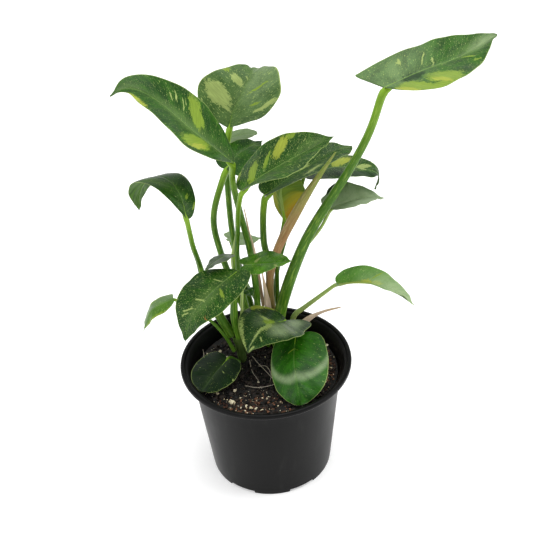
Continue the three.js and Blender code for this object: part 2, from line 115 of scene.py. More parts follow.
# Side veins bow towards the foot by up to a quarter of VEIN_BOW, in full from BOW_START on. The vein places
# of the first LOBE_STATIONS points go back by LOBE_FAN each, so that a lobe has veins of its own.
VEIN_BOW = 0.05
BOW_START = 0.1
LOBE_STATIONS = 3
LOBE_FAN = 0.05
# Share of the rib, to either side of a place, over which its direction is taken
RIB_STEP = 0.02

# Relief of the blades. Below SMALL_LEAF in width a blade has a coarser mesh.
VISUAL_HALF_THICKNESS = 0.25
SMALL_LEAF = 20
FULL_RELIEF_WIDTH = 50
VEIN_PAIRS = 11
QUILT_HEIGHT = 0.1
WAVE_HEIGHT = 0.7
GROOVE_DEPTH = 0.4
GROOVE_WIDTH = 0.9

# The leaves, with the shapes of the CAD part. The points of rib and stalk, and the stalk's radii in thick,
# run from foot to top. outline is the left half's, and the right half's too unless right names another.
# roll turns the blade on its rib, and twist does so more and more towards the tip. Pairs are left and
# right: fold lifts a half, curl bends it, sides widens it and lobes lets it reach back past the stalk.
# base is the brightness, deep and mid are the greens, sheen is the grey-green by the rib, partly the
# blade's silvery colour and partly painted sheen, and flecks, threads and midrib are the strength of the
# pale flecks, side veins and midrib. A mark stands under its shade: (place on the rib, share towards the
# margin and negative on the left, half place, half share). The grey-green marks are partly the blade's
# silvery colour and partly painted sheen, and the soft whitish marks are painted sheen. Under those two and
# under_marks a mark is very soft, and under the last two it has a strength too. The soft whitish band
# across the blade is
# a painted highlight: (place on the rib, drop towards the margin, half width, strength). Names with under
# are for the lower face.
ORDINARY_LEAF = dict(
    skin="stalk_skin", outline="ovate", roll=0, twist=0, fold=(0, 0), curl=(0, 0), sides=(1, 1),
    lobes=(0.02, 0.02), base=0.5, deep=DEEP, mid=MID, sheen=0.5, flecks=0.4, threads=0.13, midrib=0.7,
    under=UNDER, under_deep=UNDER_DEEP, under_midrib=LINE, under_marks=[], arc=None, bloom=[], grey=[],
    dark=[], lime=[], yellow=[], pale=[], rust=[],
)
LEAVES = []


def add_leaf(number, **values):
    """Adds one leaf: its own values over the ordinary ones."""
    leaf = {"number": f"{number:02}", "seed": number, **ORDINARY_LEAF, **values}
    leaf.setdefault("right", leaf["outline"])
    LEAVES.append(leaf)


add_leaf(
    1, width=78, outline="eared", right="tapered", roll=-7, twist=4, fold=(13, 2), curl=(-4, -2),
    sides=(1, 1.13), lobes=(0.13, 0), thick=(6.2, 6, 4.9, 3.9, 3.6),
    rib=[(114, 22, 388), (145, 29, 397), (180, 38, 404), (212, 48, 417)],
    stalk=[
        (13.8, 34, 112), (16, 36, 142), (22, 38, 166), (34, 40, 201), (49, 39, 238), (69, 35, 276),
        (87, 29, 311), (103, 24, 348),
    ],
    base=0.55, sheen=0.2, flecks=0.7,
    bloom=[(0.1, -0.45, 0.34, 1.0, 0.26), (0.92, -0.1, 0.22, 1.2, 0.45)],
    grey=[(0.12, -0.41, 0.05, 0.4), (0.8, -0.1, 0.25, 0.7)], dark=[(0.22, 0.12, 0.1, 0.16)],
    lime=[
        (0.31, 0.66, 0.1, 0.34), (0.11, 0.6, 0.075, 0.4), (0.637, 0.39, 0.014, 0.2),
        (0.6, 0.78, 0.01, 0.05), (0.2, 0.88, 0.16, 0.14),
    ],
    yellow=[(0.04, 0.72, 0.035, 0.3), (0.25, 0.75, 0.03, 0.2)],
    pale=[(0.32, -0.41, 0.008, 0.22), (0.41, -0.24, 0.008, 0.15), (0.15, -0.61, 0.007, 0.13)],
)
add_leaf(
    2, width=70, outline="tapered", twist=-18, fold=(12, 22), curl=(-8, -12), sides=(1.06, 1),
    lobes=(0, 0.01), thick=(3.6, 3),
    rib=[(-16, 20, 328), (-47, 24, 358), (-76, 28, 388), (-97, 28, 400), (-113, 20, 398)],
    stalk=[
        (-3, 37, 112), (-4, 39, 150), (-5, 40, 190), (-8, 40.5, 225), (-12, 39, 252), (-17, 35, 288),
        (-18.5, 32, 308),
    ],
    base=0.4, flecks=0.6, midrib=0.5, grey=[(0.42, 0.0, 0.3, 0.3), (0.85, 0.3, 0.12, 0.7)],
    lime=[(0.31, 0.55, 0.06, 0.42), (0.24, -0.5, 0.085, 0.4)],
    yellow=[(0.2, -0.62, 0.03, 0.22), (0.67, -0.93, 0.11, 0.1)],
    pale=[
        (0.52, 0.54, 0.007, 0.13), (0.47, 0.62, 0.007, 0.16), (0.43, 0.5, 0.006, 0.14),
        (0.4, 0.62, 0.006, 0.1),
    ],
)
add_leaf(
    3, width=84, outline="tapered", right="obovate", roll=-2, fold=(38, 12), curl=(-4, -4),
    sides=(0.92, 1.08), lobes=(0, 0), thick=(3, 3),
    rib=[(-19, 88, 328), (-14, 92, 342), (-4, 99, 358), (4, 110, 369), (7, 124, 370)],
    stalk=[(-8.5, 53.5, 112), (-10, 54, 145), (-19, 59, 190), (-24, 70, 232), (-24, 88, 286)],
    base=0.6, flecks=0.75, midrib=0.35, deep=srgb(48, 76, 32), mid=srgb(76, 104, 54),
    bloom=[(0.6, 0.5, 0.4, 0.7, 0.25)],
    lime=[(0.56, -0.92, 0.035, 0.1), (0.44, 0.533, 0.016, 0.24), (0.263, 0.487, 0.014, 0.08)],
    pale=[
        (0.277, -0.51, 0.11, 0.4), (0.573, -0.4, 0.045, 0.32), (0.17, 0.77, 0.03, 0.24),
        (0.69, -0.12, 0.012, 0.12), (0.21, -0.2, 0.02, 0.16),
    ],
)
add_leaf(
    4, width=68, right="obovate", roll=2, twist=22, fold=(16, 20), curl=(-6, -6), sides=(1, 1.02),
    lobes=(0.04, 0), thick=(2.6, 2.4), rib=[(-11, 14, 303), (8, 12, 318), (41, 5, 340), (69, -2, 358)],
    stalk=[
        (-12, 38, 112), (-14, 38.5, 150), (-19, 38.5, 190), (-20, 38.5, 220), (-18, 36, 242),
        (-15.5, 24, 276),
    ],
    base=0.34, sheen=0.25, flecks=0.95, midrib=0.8, grey=[(0.75, -0.4, 0.22, 0.5)],
    lime=[
        (0.443, -0.9, 0.042, 0.1), (0.268, -0.4, 0.028, 0.24), (0.13, -0.3, 0.05, 0.33),
        (-0.01, -0.86, 0.03, 0.14),
    ],
    yellow=[(0.374, -0.62, 0.062, 0.32)], pale=[(0.485, 0.19, 0.009, 0.11), (0.615, -0.7, 0.008, 0.06)],
)
add_leaf(
    5, width=50, right="round", roll=-15, twist=22, fold=(20, 12), sides=(1, 1.1), thick=(3, 3.3),
    rib=[(10, 44, 280), (38, 53, 294), (71, 61, 309), (92, 66, 312)],
    stalk=[(3, 54, 112), (8, 54, 163), (8.5, 54, 203), (6, 53, 222), (7, 50, 255)],
    base=0.22, sheen=0.2, flecks=0.9, midrib=0.3, grey=[(0.93, 0.0, 0.1, 1.1)],
    pale=[(0.36, 0.64, 0.1, 0.07), (0.47, 0.0, 0.05, 0.1)],
)
add_leaf(
    6, width=60, fold=(6, 2), sides=(0.7, 1), lobes=(0.04, 0.02), thick=(3.2, 3.1),
    rib=[(-24, 60, 301), (-15, 66, 309), (-3, 73, 314), (11, 80, 316)],
    stalk=[(-14, 46, 112), (-16, 47, 140), (-25, 47, 175), (-36, 48, 220), (-39, 52, 257)],
    base=0.28, sheen=0.3, flecks=0.3, midrib=0.3, grey=[(0.75, 0.1, 0.1, 1)],
)
add_leaf(
    7, width=50, roll=-6, twist=8, fold=(3, 3), thick=(2.4, 1.8),
    rib=[(48, 68, 286), (81, 72, 288), (115, 71, 280), (113, 63, 266)],
    stalk=[(9.5, 57.5, 112), (12, 60, 150), (18, 61, 185), (27, 62, 218), (38, 65, 247)],
    base=0.4, sheen=0.3, flecks=0.9, midrib=0.5, dark=[(0.49, 0.75, 0.3, 0.3)],
    yellow=[(0.353, -0.4, 0.07, 0.42)], pale=[(0.61, -0.2, 0.05, 0.5), (0.2, -0.5, 0.02, 0.3)],
)
add_leaf(
    8, width=50, outline="wedge", right="full", roll=17, twist=-20, fold=(8, -4), curl=(-10, -10),
    sides=(0.88, 0.8), lobes=(0, 0.02), thick=(4, 5, 3.4, 2.5, 2.4, 2.3),
    rib=[
        (-60, -4, 291), (-62, 1, 304), (-68, 10, 315), (-79, 20, 319), (-92, 29, 313), (-102, 37, 296),
        (-106, 42, 274),
    ],
    stalk=[
        (-31, 17, 142), (-40, 18, 162), (-47.5, 21, 184), (-53.5, 25.5, 208), (-55.5, 19, 229),
        (-58, 5, 256),
    ],
    base=0.3, sheen=0.4, flecks=0.35, midrib=0.3, grey=[(0.25, -0.6, 0.12, 0.42)],
    lime=[(0.135, 0.31, 0.018, 0.12), (0.035, 0.85, 0.014, 0.16)], pale=[(0.2, 0.97, 0.03, 0.06)],
)
add_leaf(
    9, width=58, outline="wedge", roll=-142, fold=(4, 50), sides=(1, 0.45), lobes=(0, 0),
    thick=(2.5, 2.3), rib=[(27, 54, 244), (25, 57, 261), (25, 60, 275), (31, 64, 287), (41, 70, 297)],
    stalk=[(15.5, 54.5, 112), (16.5, 53.5, 180), (20, 53, 213)],
    base=0.4, under=srgb(112, 138, 38), under_deep=srgb(84, 114, 24), under_midrib=srgb(142, 166, 84),
    under_marks=[
        ((0.12, 0.8, 0.26, 0.5, 1.0), srgb(150, 152, 44)),
        ((0.12, -0.5, 0.28, 0.7, 1.0), srgb(168, 156, 36)),
        ((0.06, -0.35, 0.13, 0.4, 0.8), srgb(182, 132, 38)),
    ],
)
# Leaf 10's light grey-green deep and mid paint the sheen the blade shows at a grazing angle, and its soft
# whitish mark is painted sheen too.
add_leaf(
    10, skin="light_stalk_skin", width=48, outline="drawn", right="tapered", fold=(28, 20), curl=(-8, -4),
    lobes=(0.1, 0.02), thick=(2.2, 1.6), rib=[(70, 50, 257), (98, 56, 262), (122, 60, 258)],
    stalk=[(20, 51.5, 112), (23, 52, 160), (38, 51, 203), (60, 47, 238)],
    base=0.6, sheen=0.3, flecks=0.2, midrib=0.3, threads=0.06, deep=srgb(120, 142, 104),
    mid=srgb(144, 162, 128), dark=[(0.1, -0.8, 0.08, 0.3)], bloom=[(0.6, 0.1, 0.5, 0.9, 0.45)],
)
add_leaf(
    11, skin="light_stalk_skin", width=43, fold=(6, 6), curl=(-12, -12), sides=(1, 0.86), lobes=(0.14, 0),
    thick=(1.8, 1.4), rib=[(-14, 20, 221), (-2, 14.5, 224.5), (13, 8.5, 228.5), (30, 2, 233.5)],
    stalk=[(-20.5, 17.5, 142), (-19, 17.8, 178), (-16.5, 18, 203)],
    sheen=0.1, flecks=0.7, midrib=0.3, deep=srgb(44, 90, 12), mid=srgb(84, 136, 30),
    pale=[(0.215, -0.28, 0.035, 0.2), (0.6, 0.64, 0.03, 0.3)],
)
add_leaf(
    12, width=60, right="tapered", roll=16, twist=-18, fold=(0, 8), curl=(-6, -6), sides=(1, 1.1),
    lobes=(0.06, 0), thick=(2.8, 3.8, 2.6, 1.8),
    rib=[(-20, 2, 227), (-44.5, -14.5, 217), (-63, -29, 204), (-71, -40, 183)],
    stalk=[(-24.5, 12, 142), (-27, 10, 165), (-26, 8, 190), (-23.5, 6, 207)],
    base=0.32, sheen=0.4, flecks=0.85, midrib=0.35, grey=[(0.5, -0.1, 0.25, 0.5), (0.02, 0.8, 0.06, 0.2)],
    lime=[(0.268, -0.4, 0.02, 0.24)],
    pale=[
        (0.488, 0.12, 0.012, 0.25), (0.61, 0.4, 0.012, 0.28), (0.656, 0.49, 0.01, 0.2),
        (0.2, 0.2, 0.01, 0.12),
    ],
    rust=[(0.51, -0.86, 0.012, 0.06)],
)
add_leaf(
    13, width=30, outline="tapered", roll=18, fold=(4, 0), sides=(1, 0.75), lobes=(0, 0), thick=(2, 1.4),
    rib=[(-23, 27, 228), (-32, 22, 230), (-42, 15, 228.5), (-50, 8, 225)],
    stalk=[(-26.5, 23, 142), (-24, 27, 185)],
    base=0.55, sheen=0.3, deep=srgb(52, 68, 50), mid=srgb(78, 94, 72),
)
add_leaf(
    14, width=27, fold=(4, 4), lobes=(0.12, 0.12), thick=(2, 1.4),
    rib=[(-28, 96, 202), (-12, 100, 197), (4, 104, 194)],
    stalk=[(-2.5, 58, 112), (-3, 66, 135), (-18, 82, 168)],
    base=0.8, flecks=0.2, midrib=0.2, deep=srgb(92, 116, 74), mid=srgb(116, 138, 98),
)
add_leaf(
    15, width=28, outline="full", right="ovate", roll=12, fold=(-8, -8), sides=(1, 1.35), thick=(2, 1.4),
    rib=[(-82, 8, 197), (-101, 3, 190), (-108, 0, 181), (-112, -3, 170)],
    stalk=[(-30, 12.5, 126), (-38, 10, 148), (-52, 11, 168)],
    base=0.6, sheen=0.0, flecks=0.5, midrib=0.3, deep=srgb(50, 92, 14), mid=srgb(76, 118, 24),
    lime=[(0.35, 1.0, 0.5, 0.12), (0.4, -0.95, 0.4, 0.14)],
)
add_leaf(
    16, skin="light_stalk_skin", width=44, outline="full", right="ovate", roll=-7, fold=(21, 26),
    curl=(-4, -4), thick=(3.6, 2.8, 2.2, 1.8),
    rib=[(73, 30, 185), (100, 30, 184), (128, 25, 173), (146, 20, 160)],
    stalk=[(24, 43.5, 112), (31, 41, 141), (40, 38, 152), (56, 33, 169)],
    base=0.65, sheen=0.4, flecks=0.5, midrib=0.5, deep=srgb(56, 104, 22), mid=srgb(80, 130, 40),
    bloom=[(0.85, 0.0, 0.6, 2.4, 1.0)], lime=[(0.363, -0.6, 0.012, 0.3)],
    yellow=[(0.1, 0.75, 0.1, 0.5), (0.22, 0.4, 0.1, 0.4), (0.34, 0.08, 0.08, 0.28)],
    pale=[(0.45, -0.15, 0.05, 0.18)],
)
add_leaf(
    17, width=14, fold=(4, 4), lobes=(0.03, 0.03), thick=(1.6, 1),
    rib=[(-15, 34, 182), (-12, 30, 183), (-10, 26, 179)], stalk=[(-22, 22.5, 142), (-18, 28, 165)],
    base=0.4, sheen=0.3, flecks=0.3, midrib=0.4,
)
add_leaf(
    18, width=62, fold=(-2, 12), curl=(0, -8), sides=(1.05, 1), lobes=(0.3, 0.04), thick=(2.2, 1.7),
    rib=[(22, 12, 159), (2, -6, 168), (-12, -24, 163), (-16, -31, 157)],
    stalk=[(4, 34, 112), (6, 29, 132), (14, 19, 150)],
    base=0.35, sheen=0.2, flecks=0.5, midrib=0.2, deep=srgb(20, 48, 18), mid=srgb(48, 80, 36),
    bloom=[(0.29, -0.45, 0.26, 0.45, 0.6), (0.4, 0.3, 0.16, 0.3, 0.2), (-0.02, -0.4, 0.12, 0.4, 0.6)],
    lime=[(0.33, 0.09, 0.1, 0.16)], yellow=[(0.09, 0.9, 0.13, 0.12)],
    pale=[
        (0.72, 0.02, 0.26, 0.1), (0.65, -0.46, 0.012, 0.22), (0.66, 0.9, 0.3, 0.09),
        (0.46, -0.08, 0.1, 0.12), (0.3, 0.3, 0.04, 0.14), (0.9, -0.7, 0.1, 0.2),
    ],
)
# Leaf 19's soft whitish band is a painted highlight where the blade bends down.
add_leaf(
    19, width=58, outline="round", roll=15, fold=(-6, -6), curl=(-10, -10), sides=(1.12, 0.84),
    lobes=(0.04, 0.04), thick=(2.4, 1.9),
    rib=[(30, 2, 149), (26, -24, 139), (28, -51, 124), (30, -60, 115)],
    stalk=[(25, 34, 112), (26, 28, 126), (28, 17, 140)],
    sheen=0.0, flecks=0.1, midrib=0.25, threads=0.03, deep=srgb(18, 60, 4), mid=srgb(42, 98, 10),
    arc=(0.6, 0.42, 0.11, 0.62), lime=[(0.22, 0.1, 0.012, 0.16)],
)
add_leaf(
    20, width=44, outline="round", fold=(4, 10), curl=(-6, -2), lobes=(0.06, 0.06), thick=(2, 1.6),
    rib=[(-37, 0, 126), (-50, -18, 123.5), (-62, -37, 119.5)], stalk=[(-26.5, 11.5, 112), (-34, 7, 122)],
    base=0.12, sheen=0.2, flecks=0.12, midrib=0.12, threads=0.04, deep=srgb(8, 30, 8),
    mid=srgb(22, 52, 14), pale=[(0.287, -0.3, 0.01, 0.06), (0.227, -0.93, 0.02, 0.06)],
)
# Leaf 21's light grey-green deep and mid paint a grey reflection on the blade.
add_leaf(
    21, width=22, outline="round", roll=2, fold=(4, 4), thick=(2, 1.4),
    rib=[(-29, 104, 307), (-17, 105, 309), (-5, 105, 311), (7, 104, 312)],
    stalk=[(-8.5, 61.5, 112), (-10, 63, 140), (-18.5, 67.5, 184), (-23.5, 78.5, 226), (-25.5, 98, 280)],
    base=0.8, flecks=0.2, midrib=0.2, deep=srgb(88, 112, 70), mid=srgb(112, 134, 92),
)
# The distances, as shares of an oval, between which a mark fades out
CRISP_EDGE = (0.93, 1.02)
SOFT_EDGE = (0.25, 1.25)
# How strongly the grey-green marks show, which are partly silvery colour and partly painted sheen
GREY_AND_SHEEN_STRENGTH = 0.5
# Marks shorter than this don't show through to the lower face
SMALL_MARK = 0.03
# Size across and along the veins, detail, roughness, rareness, what flecks takes off that, and cover
LONG_FLECKS = ((0.9, 4.2), 2.0, 0.6, 0.69, 0.07, 0.85)
SHORT_SPECKS = ((0.75, 1.2), 1.0, 0.5, 0.73, 0.08, 0.8)

# Skins of long pieces: colours of the foot, the middle, the top and the ridges, then the roughness, and
# the shares of the length between which the colour changes, where they are the skin's own
SKINS = {
    "root_skin": ((150, 140, 124), (172, 162, 146), (150, 140, 124), (206, 200, 186), 0.6),
    "stem_skin": ((52, 68, 32), (62, 86, 36), (76, 104, 40), (104, 122, 66), 0.42),
    "stalk_skin": ((72, 116, 22), (62, 106, 16), (130, 168, 36), (146, 178, 66), 0.42),
    "light_stalk_skin": ((166, 182, 100), (158, 182, 100), (130, 160, 72), (190, 204, 138), 0.42),
    "spear_skin": (
        (146, 136, 70), (160, 122, 80), (116, 138, 54), (184, 164, 116), 0.5, (0.08, 0.3, 0.45, 0.95),
    ),
    "dry_skin": ((208, 176, 146), (216, 192, 164), (206, 176, 140), (228, 212, 188), 0.6),
    "pale_skin": ((140, 160, 84), (164, 184, 110), (140, 168, 84), (196, 208, 156), 0.5),
}
# Stems, sheaths and the rolled new leaf: points and radii from foot to top, and a sheath's skin and slot
STEMS = [
    ("stem_left", [(-22, 18, 100), (-24, 18, 128), (-26, 17.5, 141)], (4.3, 4.6, 5.5)),
    ("stem_middle", [(-3, 46, 100), (-3, 46, 120), (-3, 46, 139)], (5, 4.8, 4)),
    ("stem_right", [(11, 47, 100), (11, 47, 120), (10, 47, 134.5)], (5, 5, 5)),
]
SHEATHS = [
    (
        "sheath_right", [(33, 37, 112), (41, 33, 138), (56, 32, 150), (76, 29, 157)],
        (3.9, 5.1, 3.6, 0.9), "dry_skin", "sheath_pink",
    ),
    (
        "sheath_middle", [(1, 47, 152), (-1, 46, 185), (-4, 45, 221), (-7, 43, 240), (-10, 41, 268)],
        (1.8, 1.65, 1.35, 0.75), "dry_skin", "sheath_pink",
    ),
    (
        "sheath_centre", [(6, 39.5, 130), (6, 39.5, 157), (2.5, 40.5, 196)],
        (3.6, 3.3, 0.9), "dry_skin", "sheath_pink",
    ),
    (
        "sheath_pale", [(-16.5, 43, 160), (-24, 42.5, 207), (-18, 43, 243), (-16, 43, 273)],
        (2.1, 2.7, 2.4, 1.5), "pale_skin", "sheath_pale_green",
    ),
]
SPEAR = [(10, 47, 135), (9, 46, 179), (18, 42, 219), (44, 33, 278), (73, 28, 327)]
SPEAR_RADII = (4.2, 4.0, 3.6, 3.7, 4.2, 4.5, 3.8, 2.4, 0.7)

# The pot and the mix in it
RIM_RADIUS = 82.5
POT_HEIGHT = 125
BASE_RADIUS = 59.9
SHOULDER_RADIUS = 71.5
SHOULDER_HEIGHT = 108
WALL_THICKNESS = 1.5
FOOT_HEIGHT = 3.2
FOOT_WIDTH = 4.5
NOTCHES = 6
NOTCH_HEIGHT = 3
NOTCH_WIDTH = 27
FIRST_NOTCH = 237.5
MIX_HEIGHT = 110
# The centres of scattered crumbs, bark, slivers and fine perlite lie within this radius
SCATTER_RADIUS = 66.5
# The larger grains of perlite: x, y and size
PERLITE = [
    (-34, -44, 3.4), (-21, -50, 2.0), (-17, -53, 1.8), (-25, -52, 1.6), (-7, -57, 1.6), (-12, -55, 1.5),
    (-29, -49, 1.7), (-2, -44, 1.6), (-6, -42, 1.3), (-45, 32, 2.2), (-60, 41, 1.5), (-58, 30, 1.2),
    (-31, -29, 2.0), (-48, -30, 1.8), (59, -13, 1.9), (63, -6, 1.6), (60, 25, 1.5), (62, 31, 1.4),
    (-38, 22, 1.3), (55, -24, 1.5), (-26, -38, 1.4), (66, 10, 1.2), (57, 41, 1.6),
]
# Points of the pale roots on the mix
ROOTS = [
    [(-14, 22, 111), (-9, 10, 112), (0, -6, 111.6), (8, -22, 111.6), (12, -34, 110)],
    [(-16, 14, 111), (-14, -4, 112), (-9, -16, 111.4), (-6, -28, 110)],
    [(-22, -22, 110.5), (-10, -28, 112), (4, -26, 112), (15, -18, 111), (22, -8, 110)],
    [(-8, 4, 111), (0, 2, 112), (4, -10, 111.5), (2, -20, 110)],
    [(-62, 20, 110.5), (-61, 27, 112), (-62, 36, 112), (-60, 44, 110.5)],
    [(-52, 24, 110.5), (-46, 20, 112), (-38, 17, 111), (-34, 16, 110)],
]
ROOT_RINGS = 24

# Studio, in metres and watts. A light is (name, place, width and height, power).
FLOOR_HALF = 9.0
FLOOR_LEVEL = -0.0002
FLOOR_WHITE = 0.86
WORLD_STRENGTH = 0.7
LIGHT_TARGET = (0, 0, 0.15)
LIGHTS = [
    ("light_top", (0.25, 0.1, 1.9), (1.9, 1.6), 30),
    ("light_left", (-1.5, -0.5, 1.0), (0.9, 1.4), 8),
    ("light_right", (1.6, -0.2, 0.9), (0.8, 1.4), 10),
]
CAMERA_PLACE = (0, -0.738, 0.740)
CAMERA_PITCH = 34.6
CAMERA_YAW = 0.5
CAMERA_ROLL = -3.7
# In millimetres
SENSOR_WIDTH = 36
FOCAL_LENGTH_PIXELS = 994
PHOTO_WIDTH_PIXELS = 533


def spline(points, places):
    """Points of a smooth curve through the given ones, at places counted in spans."""
    points = np.array(points, float)
    first = 2 * points[0] - points[1]
    last = 2 * points[-1] - points[-2]
    padded = np.vstack([first, points, last])
    places = np.asarray(places, float)
    span = np.clip(places.astype(int), 0, len(points) - 2)
    t = (places - span)[..., None]
    p0, p1, p2, p3 = (padded[span + k] for k in range(4))
    bent = 2 * p0 - 5 * p1 + 4 * p2 - p3
    steep = 3 * p1 - p0 - 3 * p2 + p3
    return 0.5 * (2 * p1 + (p2 - p0) * t + bent * t * t + steep * t ** 3)


def unit(vectors):
    """The same directions with length one."""
    return vectors / np.linalg.norm(vectors, axis=-1, keepdims=True)


class Line:
    """A smooth curve walked by length."""

    def __init__(self, points, samples=500):
        self.points = spline(points, np.linspace(0, len(points) - 1, samples))
        steps = np.linalg.norm(np.diff(self.points, axis=0), axis=1)
        self.reach = np.concatenate([[0], np.cumsum(steps)])
        self.length = self.reach[-1]

    def at(self, distances):
        distances = np.asarray(distances, float)
        return np.stack([np.interp(distances, self.reach, self.points[:, k]) for k in range(3)], -1)

    def forward(self, distances, step):
        ahead = self.at(np.minimum(distances + step, self.length))
        behind = self.at(np.maximum(distances - step, 0))
        return unit(ahead - behind)


class Blade:
    """The surface of one leaf blade, as in the CAD part."""

    def __init__(self, leaf):
        self.leaf = leaf
        self.rib = Line(leaf["rib"])
        self.length = self.rib.length
        chord = unit(self.rib.points[-1] - self.rib.points[0])
        level = unit(np.cross(chord, [0, 0, 1.0]))
        over = np.cross(level, chord)
        roll = math.radians(leaf["roll"])
        self.side = level * math.cos(roll) - over * math.sin(roll)

    def frame(self, along):
        """Place, side and up on the rib."""
        share = np.clip(along / self.length, 0, 1)
        forward = self.rib.forward(share * self.length, RIB_STEP * self.length)
        place = self.rib.at(share * self.length) + np.minimum(along, 0)[..., None] * forward
        side = unit(self.side - (forward @ self.side)[..., None] * forward)
        up = np.cross(side, forward)
        turn = np.radians(self.leaf["twist"]) * share[..., None]
        return place, side * np.cos(turn) - up * np.sin(turn), up * np.cos(turn) + side * np.sin(turn)

    def point(self, along, across, height):
        """Points of the blade: across is negative on the left, height is above the middle layer."""
        leaf = self.leaf
        place, side, up = self.frame(along)
        left = across < 0
        fold = np.where(left, *leaf["fold"])
        curl = np.where(left, *leaf["curl"])
        sign = np.where(left, -1, 1)
        distance = np.abs(across)
        lift = np.radians(fold)
        bend = np.radians(curl) / (leaf["width"] / 2)
        bend = np.where(np.abs(bend) < TINY, TINY, bend)
        end = lift + bend * distance
        out = (np.sin(end) - np.sin(lift)) / bend
        rise = (np.cos(lift) - np.cos(end)) / bend
        tilt = np.where(distance < TINY, 0, end)
        out = sign * (out - np.sin(tilt) * height)
        rise = rise + np.cos(tilt) * height
        return place + out[..., None] * side + rise[..., None] * up

    def grid(self, hand, stations, shares):
        """Along and across in mm and vein place of one half: rows run to the tip, columns to the margin."""
        leaf = self.leaf
        lobe = leaf["lobes"][hand] / LOBE_SHARE
        shape = OUTLINES[leaf["right" if hand else "outline"]]
        outline = [(a * lobe if a < 0 else a, b, foot) for (a, b), foot in zip(shape, VEIN_FEET)]
        margin = np.maximum(spline(outline, stations), [-1, 0, 0])
        reach, wide, foot = (margin[:, k:k + 1] for k in range(3))
        half_width = leaf["width"] / 2 * leaf["sides"][hand]
        bow = VEIN_BOW * shares * (1 - shares) * wide * np.minimum(foot / BOW_START, 1)
        along = self.length * (foot + shares * (reach - foot) - bow)
        across = (1 if hand else -1) * half_width * wide * shares
        fan = LOBE_FAN * np.maximum(0, LOBE_STATIONS - stations)[:, None]
        return along, across, np.broadcast_to(foot - fan, along.shape)


def place_in_scene(name, data):
    thing = bpy.data.objects.new(name, data)
    bpy.context.scene.collection.objects.link(thing)
    return thing


def make_piece(name, points, faces, uvs, nodes, materials, face_materials=None, sharp=40):
    """A mesh object in metres that rides on the part's one body."""
    mesh = bpy.data.meshes.new(name)
    mesh.from_pydata((np.asarray(points) * MM).tolist(), [], [list(face) for face in faces])
    for label, values in uvs.items():
        layer = mesh.uv_layers.new(name=label)
        corners = np.zeros(len(mesh.loops), int)
        mesh.loops.foreach_get("vertex_index", corners)
        layer.data.foreach_set("uv", np.asarray(values, float)[corners].ravel())
    for material in materials:
        mesh.materials.append(material)
    if face_materials is not None:
        mesh.polygons.foreach_set("material_index", np.asarray(face_materials, np.int32))
    tidy = bmesh.new()
    tidy.from_mesh(mesh)
    bmesh.ops.remove_doubles(tidy, verts=tidy.verts, dist=WELD_DISTANCE)
    bmesh.ops.dissolve_degenerate(tidy, edges=tidy.edges, dist=SHORTEST_EDGE)
    tidy.to_mesh(mesh)
    tidy.free()
    mesh.polygons.foreach_set("use_smooth", [True] * len(mesh.polygons))
    mesh.set_sharp_from_angle(angle=math.radians(sharp))
    mesh.update()
    piece = place_in_scene(name, mesh)
    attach(piece, "root")
    if nodes:
        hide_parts(*nodes)


class Nodes:
    """Short ways to add shader nodes to one material."""

    def __init__(self, name):
        self.material = bpy.data.materials.new(name)
        self.material.use_nodes = True
        self.tree = self.material.node_tree
        self.shader = self.tree.nodes["Principled BSDF"]

    def put(self, socket, value):
        if isinstance(value, bpy.types.NodeSocket):
            self.tree.links.new(value, socket)
        elif isinstance(value, tuple) and len(value) == 3 and socket.type == "RGBA":
            socket.default_value = (*value, 1)
        else:
            socket.default_value = value

    def add(self, kind, inputs=(), out=0, **settings):
        node = self.tree.nodes.new("ShaderNode" + kind)
        for key, value in settings.items():
            setattr(node, key, value)
        for key, value in dict(inputs).items():
            self.put(node.inputs[key], value)
        return node.outputs[out]

    def math(self, operation, first, second=0.0):
        return self.add("Math", {0: first, 1: second}, operation=operation)

    def plus(self, first, second):
        return self.math("ADD", first, second)

    def times(self, first, second):
        return self.math("MULTIPLY", first, second)

    def swing(self, value, reach):
        """A value from 0 to 1 turned into one about zero, reach wide."""
        return self.times(self.math("SUBTRACT", value, 0.5), reach)

    def vector(self, operation, first, second=(0, 0, 0), out=0):
        return self.add("VectorMath", {0: first, 1: second}, out=out, operation=operation)

    def stretch(self, place, scale):
        return self.vector("MULTIPLY", place, scale)

    def noise(self, vector, scale, detail=2.0, rough=0.5):
        inputs = {"Vector": vector, "Scale": scale, "Detail": detail, "Roughness": rough}
        return self.add("TexNoise", inputs)

    def ramp(self, value, low, high, to_low=0.0, to_high=1.0):
        inputs = {0: value, 1: low, 2: high, 3: to_low, 4: to_high}
        return self.add("MapRange", inputs, interpolation_type="SMOOTHSTEP")

    def mix(self, share, first, second):
        """A mix of two colours, whose sockets are number 6 and 7, and 2 on the way out."""
        return self.add("Mix", {0: share, 6: first, 7: second}, out=2, data_type="RGBA")

    def bump(self, height, strength, distance):
        return self.add("Bump", {"Height": height, "Strength": strength, "Distance": distance})

    def finish(self, colour, roughness, normal=None, **constants):
        self.put(self.shader.inputs["Base Color"], colour)
        self.put(self.shader.inputs["Roughness"], roughness)
        if normal is not None:
            self.put(self.shader.inputs["Normal"], normal)
        for key, value in constants.items():
            self.shader.inputs[key.replace("_", " ")].default_value = value
        return self.material


def vein_space(nodes, blade, seed):
    """Vein space, x the place on the rib and y the share to the margin. The second one is in mm."""
    veins = nodes.add("UVMap", uv_map="veins")
    spread = nodes.stretch(veins, (blade.length, blade.leaf["width"] / 2, 1))
    return veins, nodes.vector("ADD", spread, (seed * 37.0, seed * 11.0, seed * 5.0))


def grains(nodes, place, across, along, detail, rough=0.5):
    """Noise whose grains are across mm wide and along mm long, lying along the side veins."""
    return nodes.noise(nodes.stretch(place, (1 / across, 1 / along, 1)), 1.0, detail, rough)


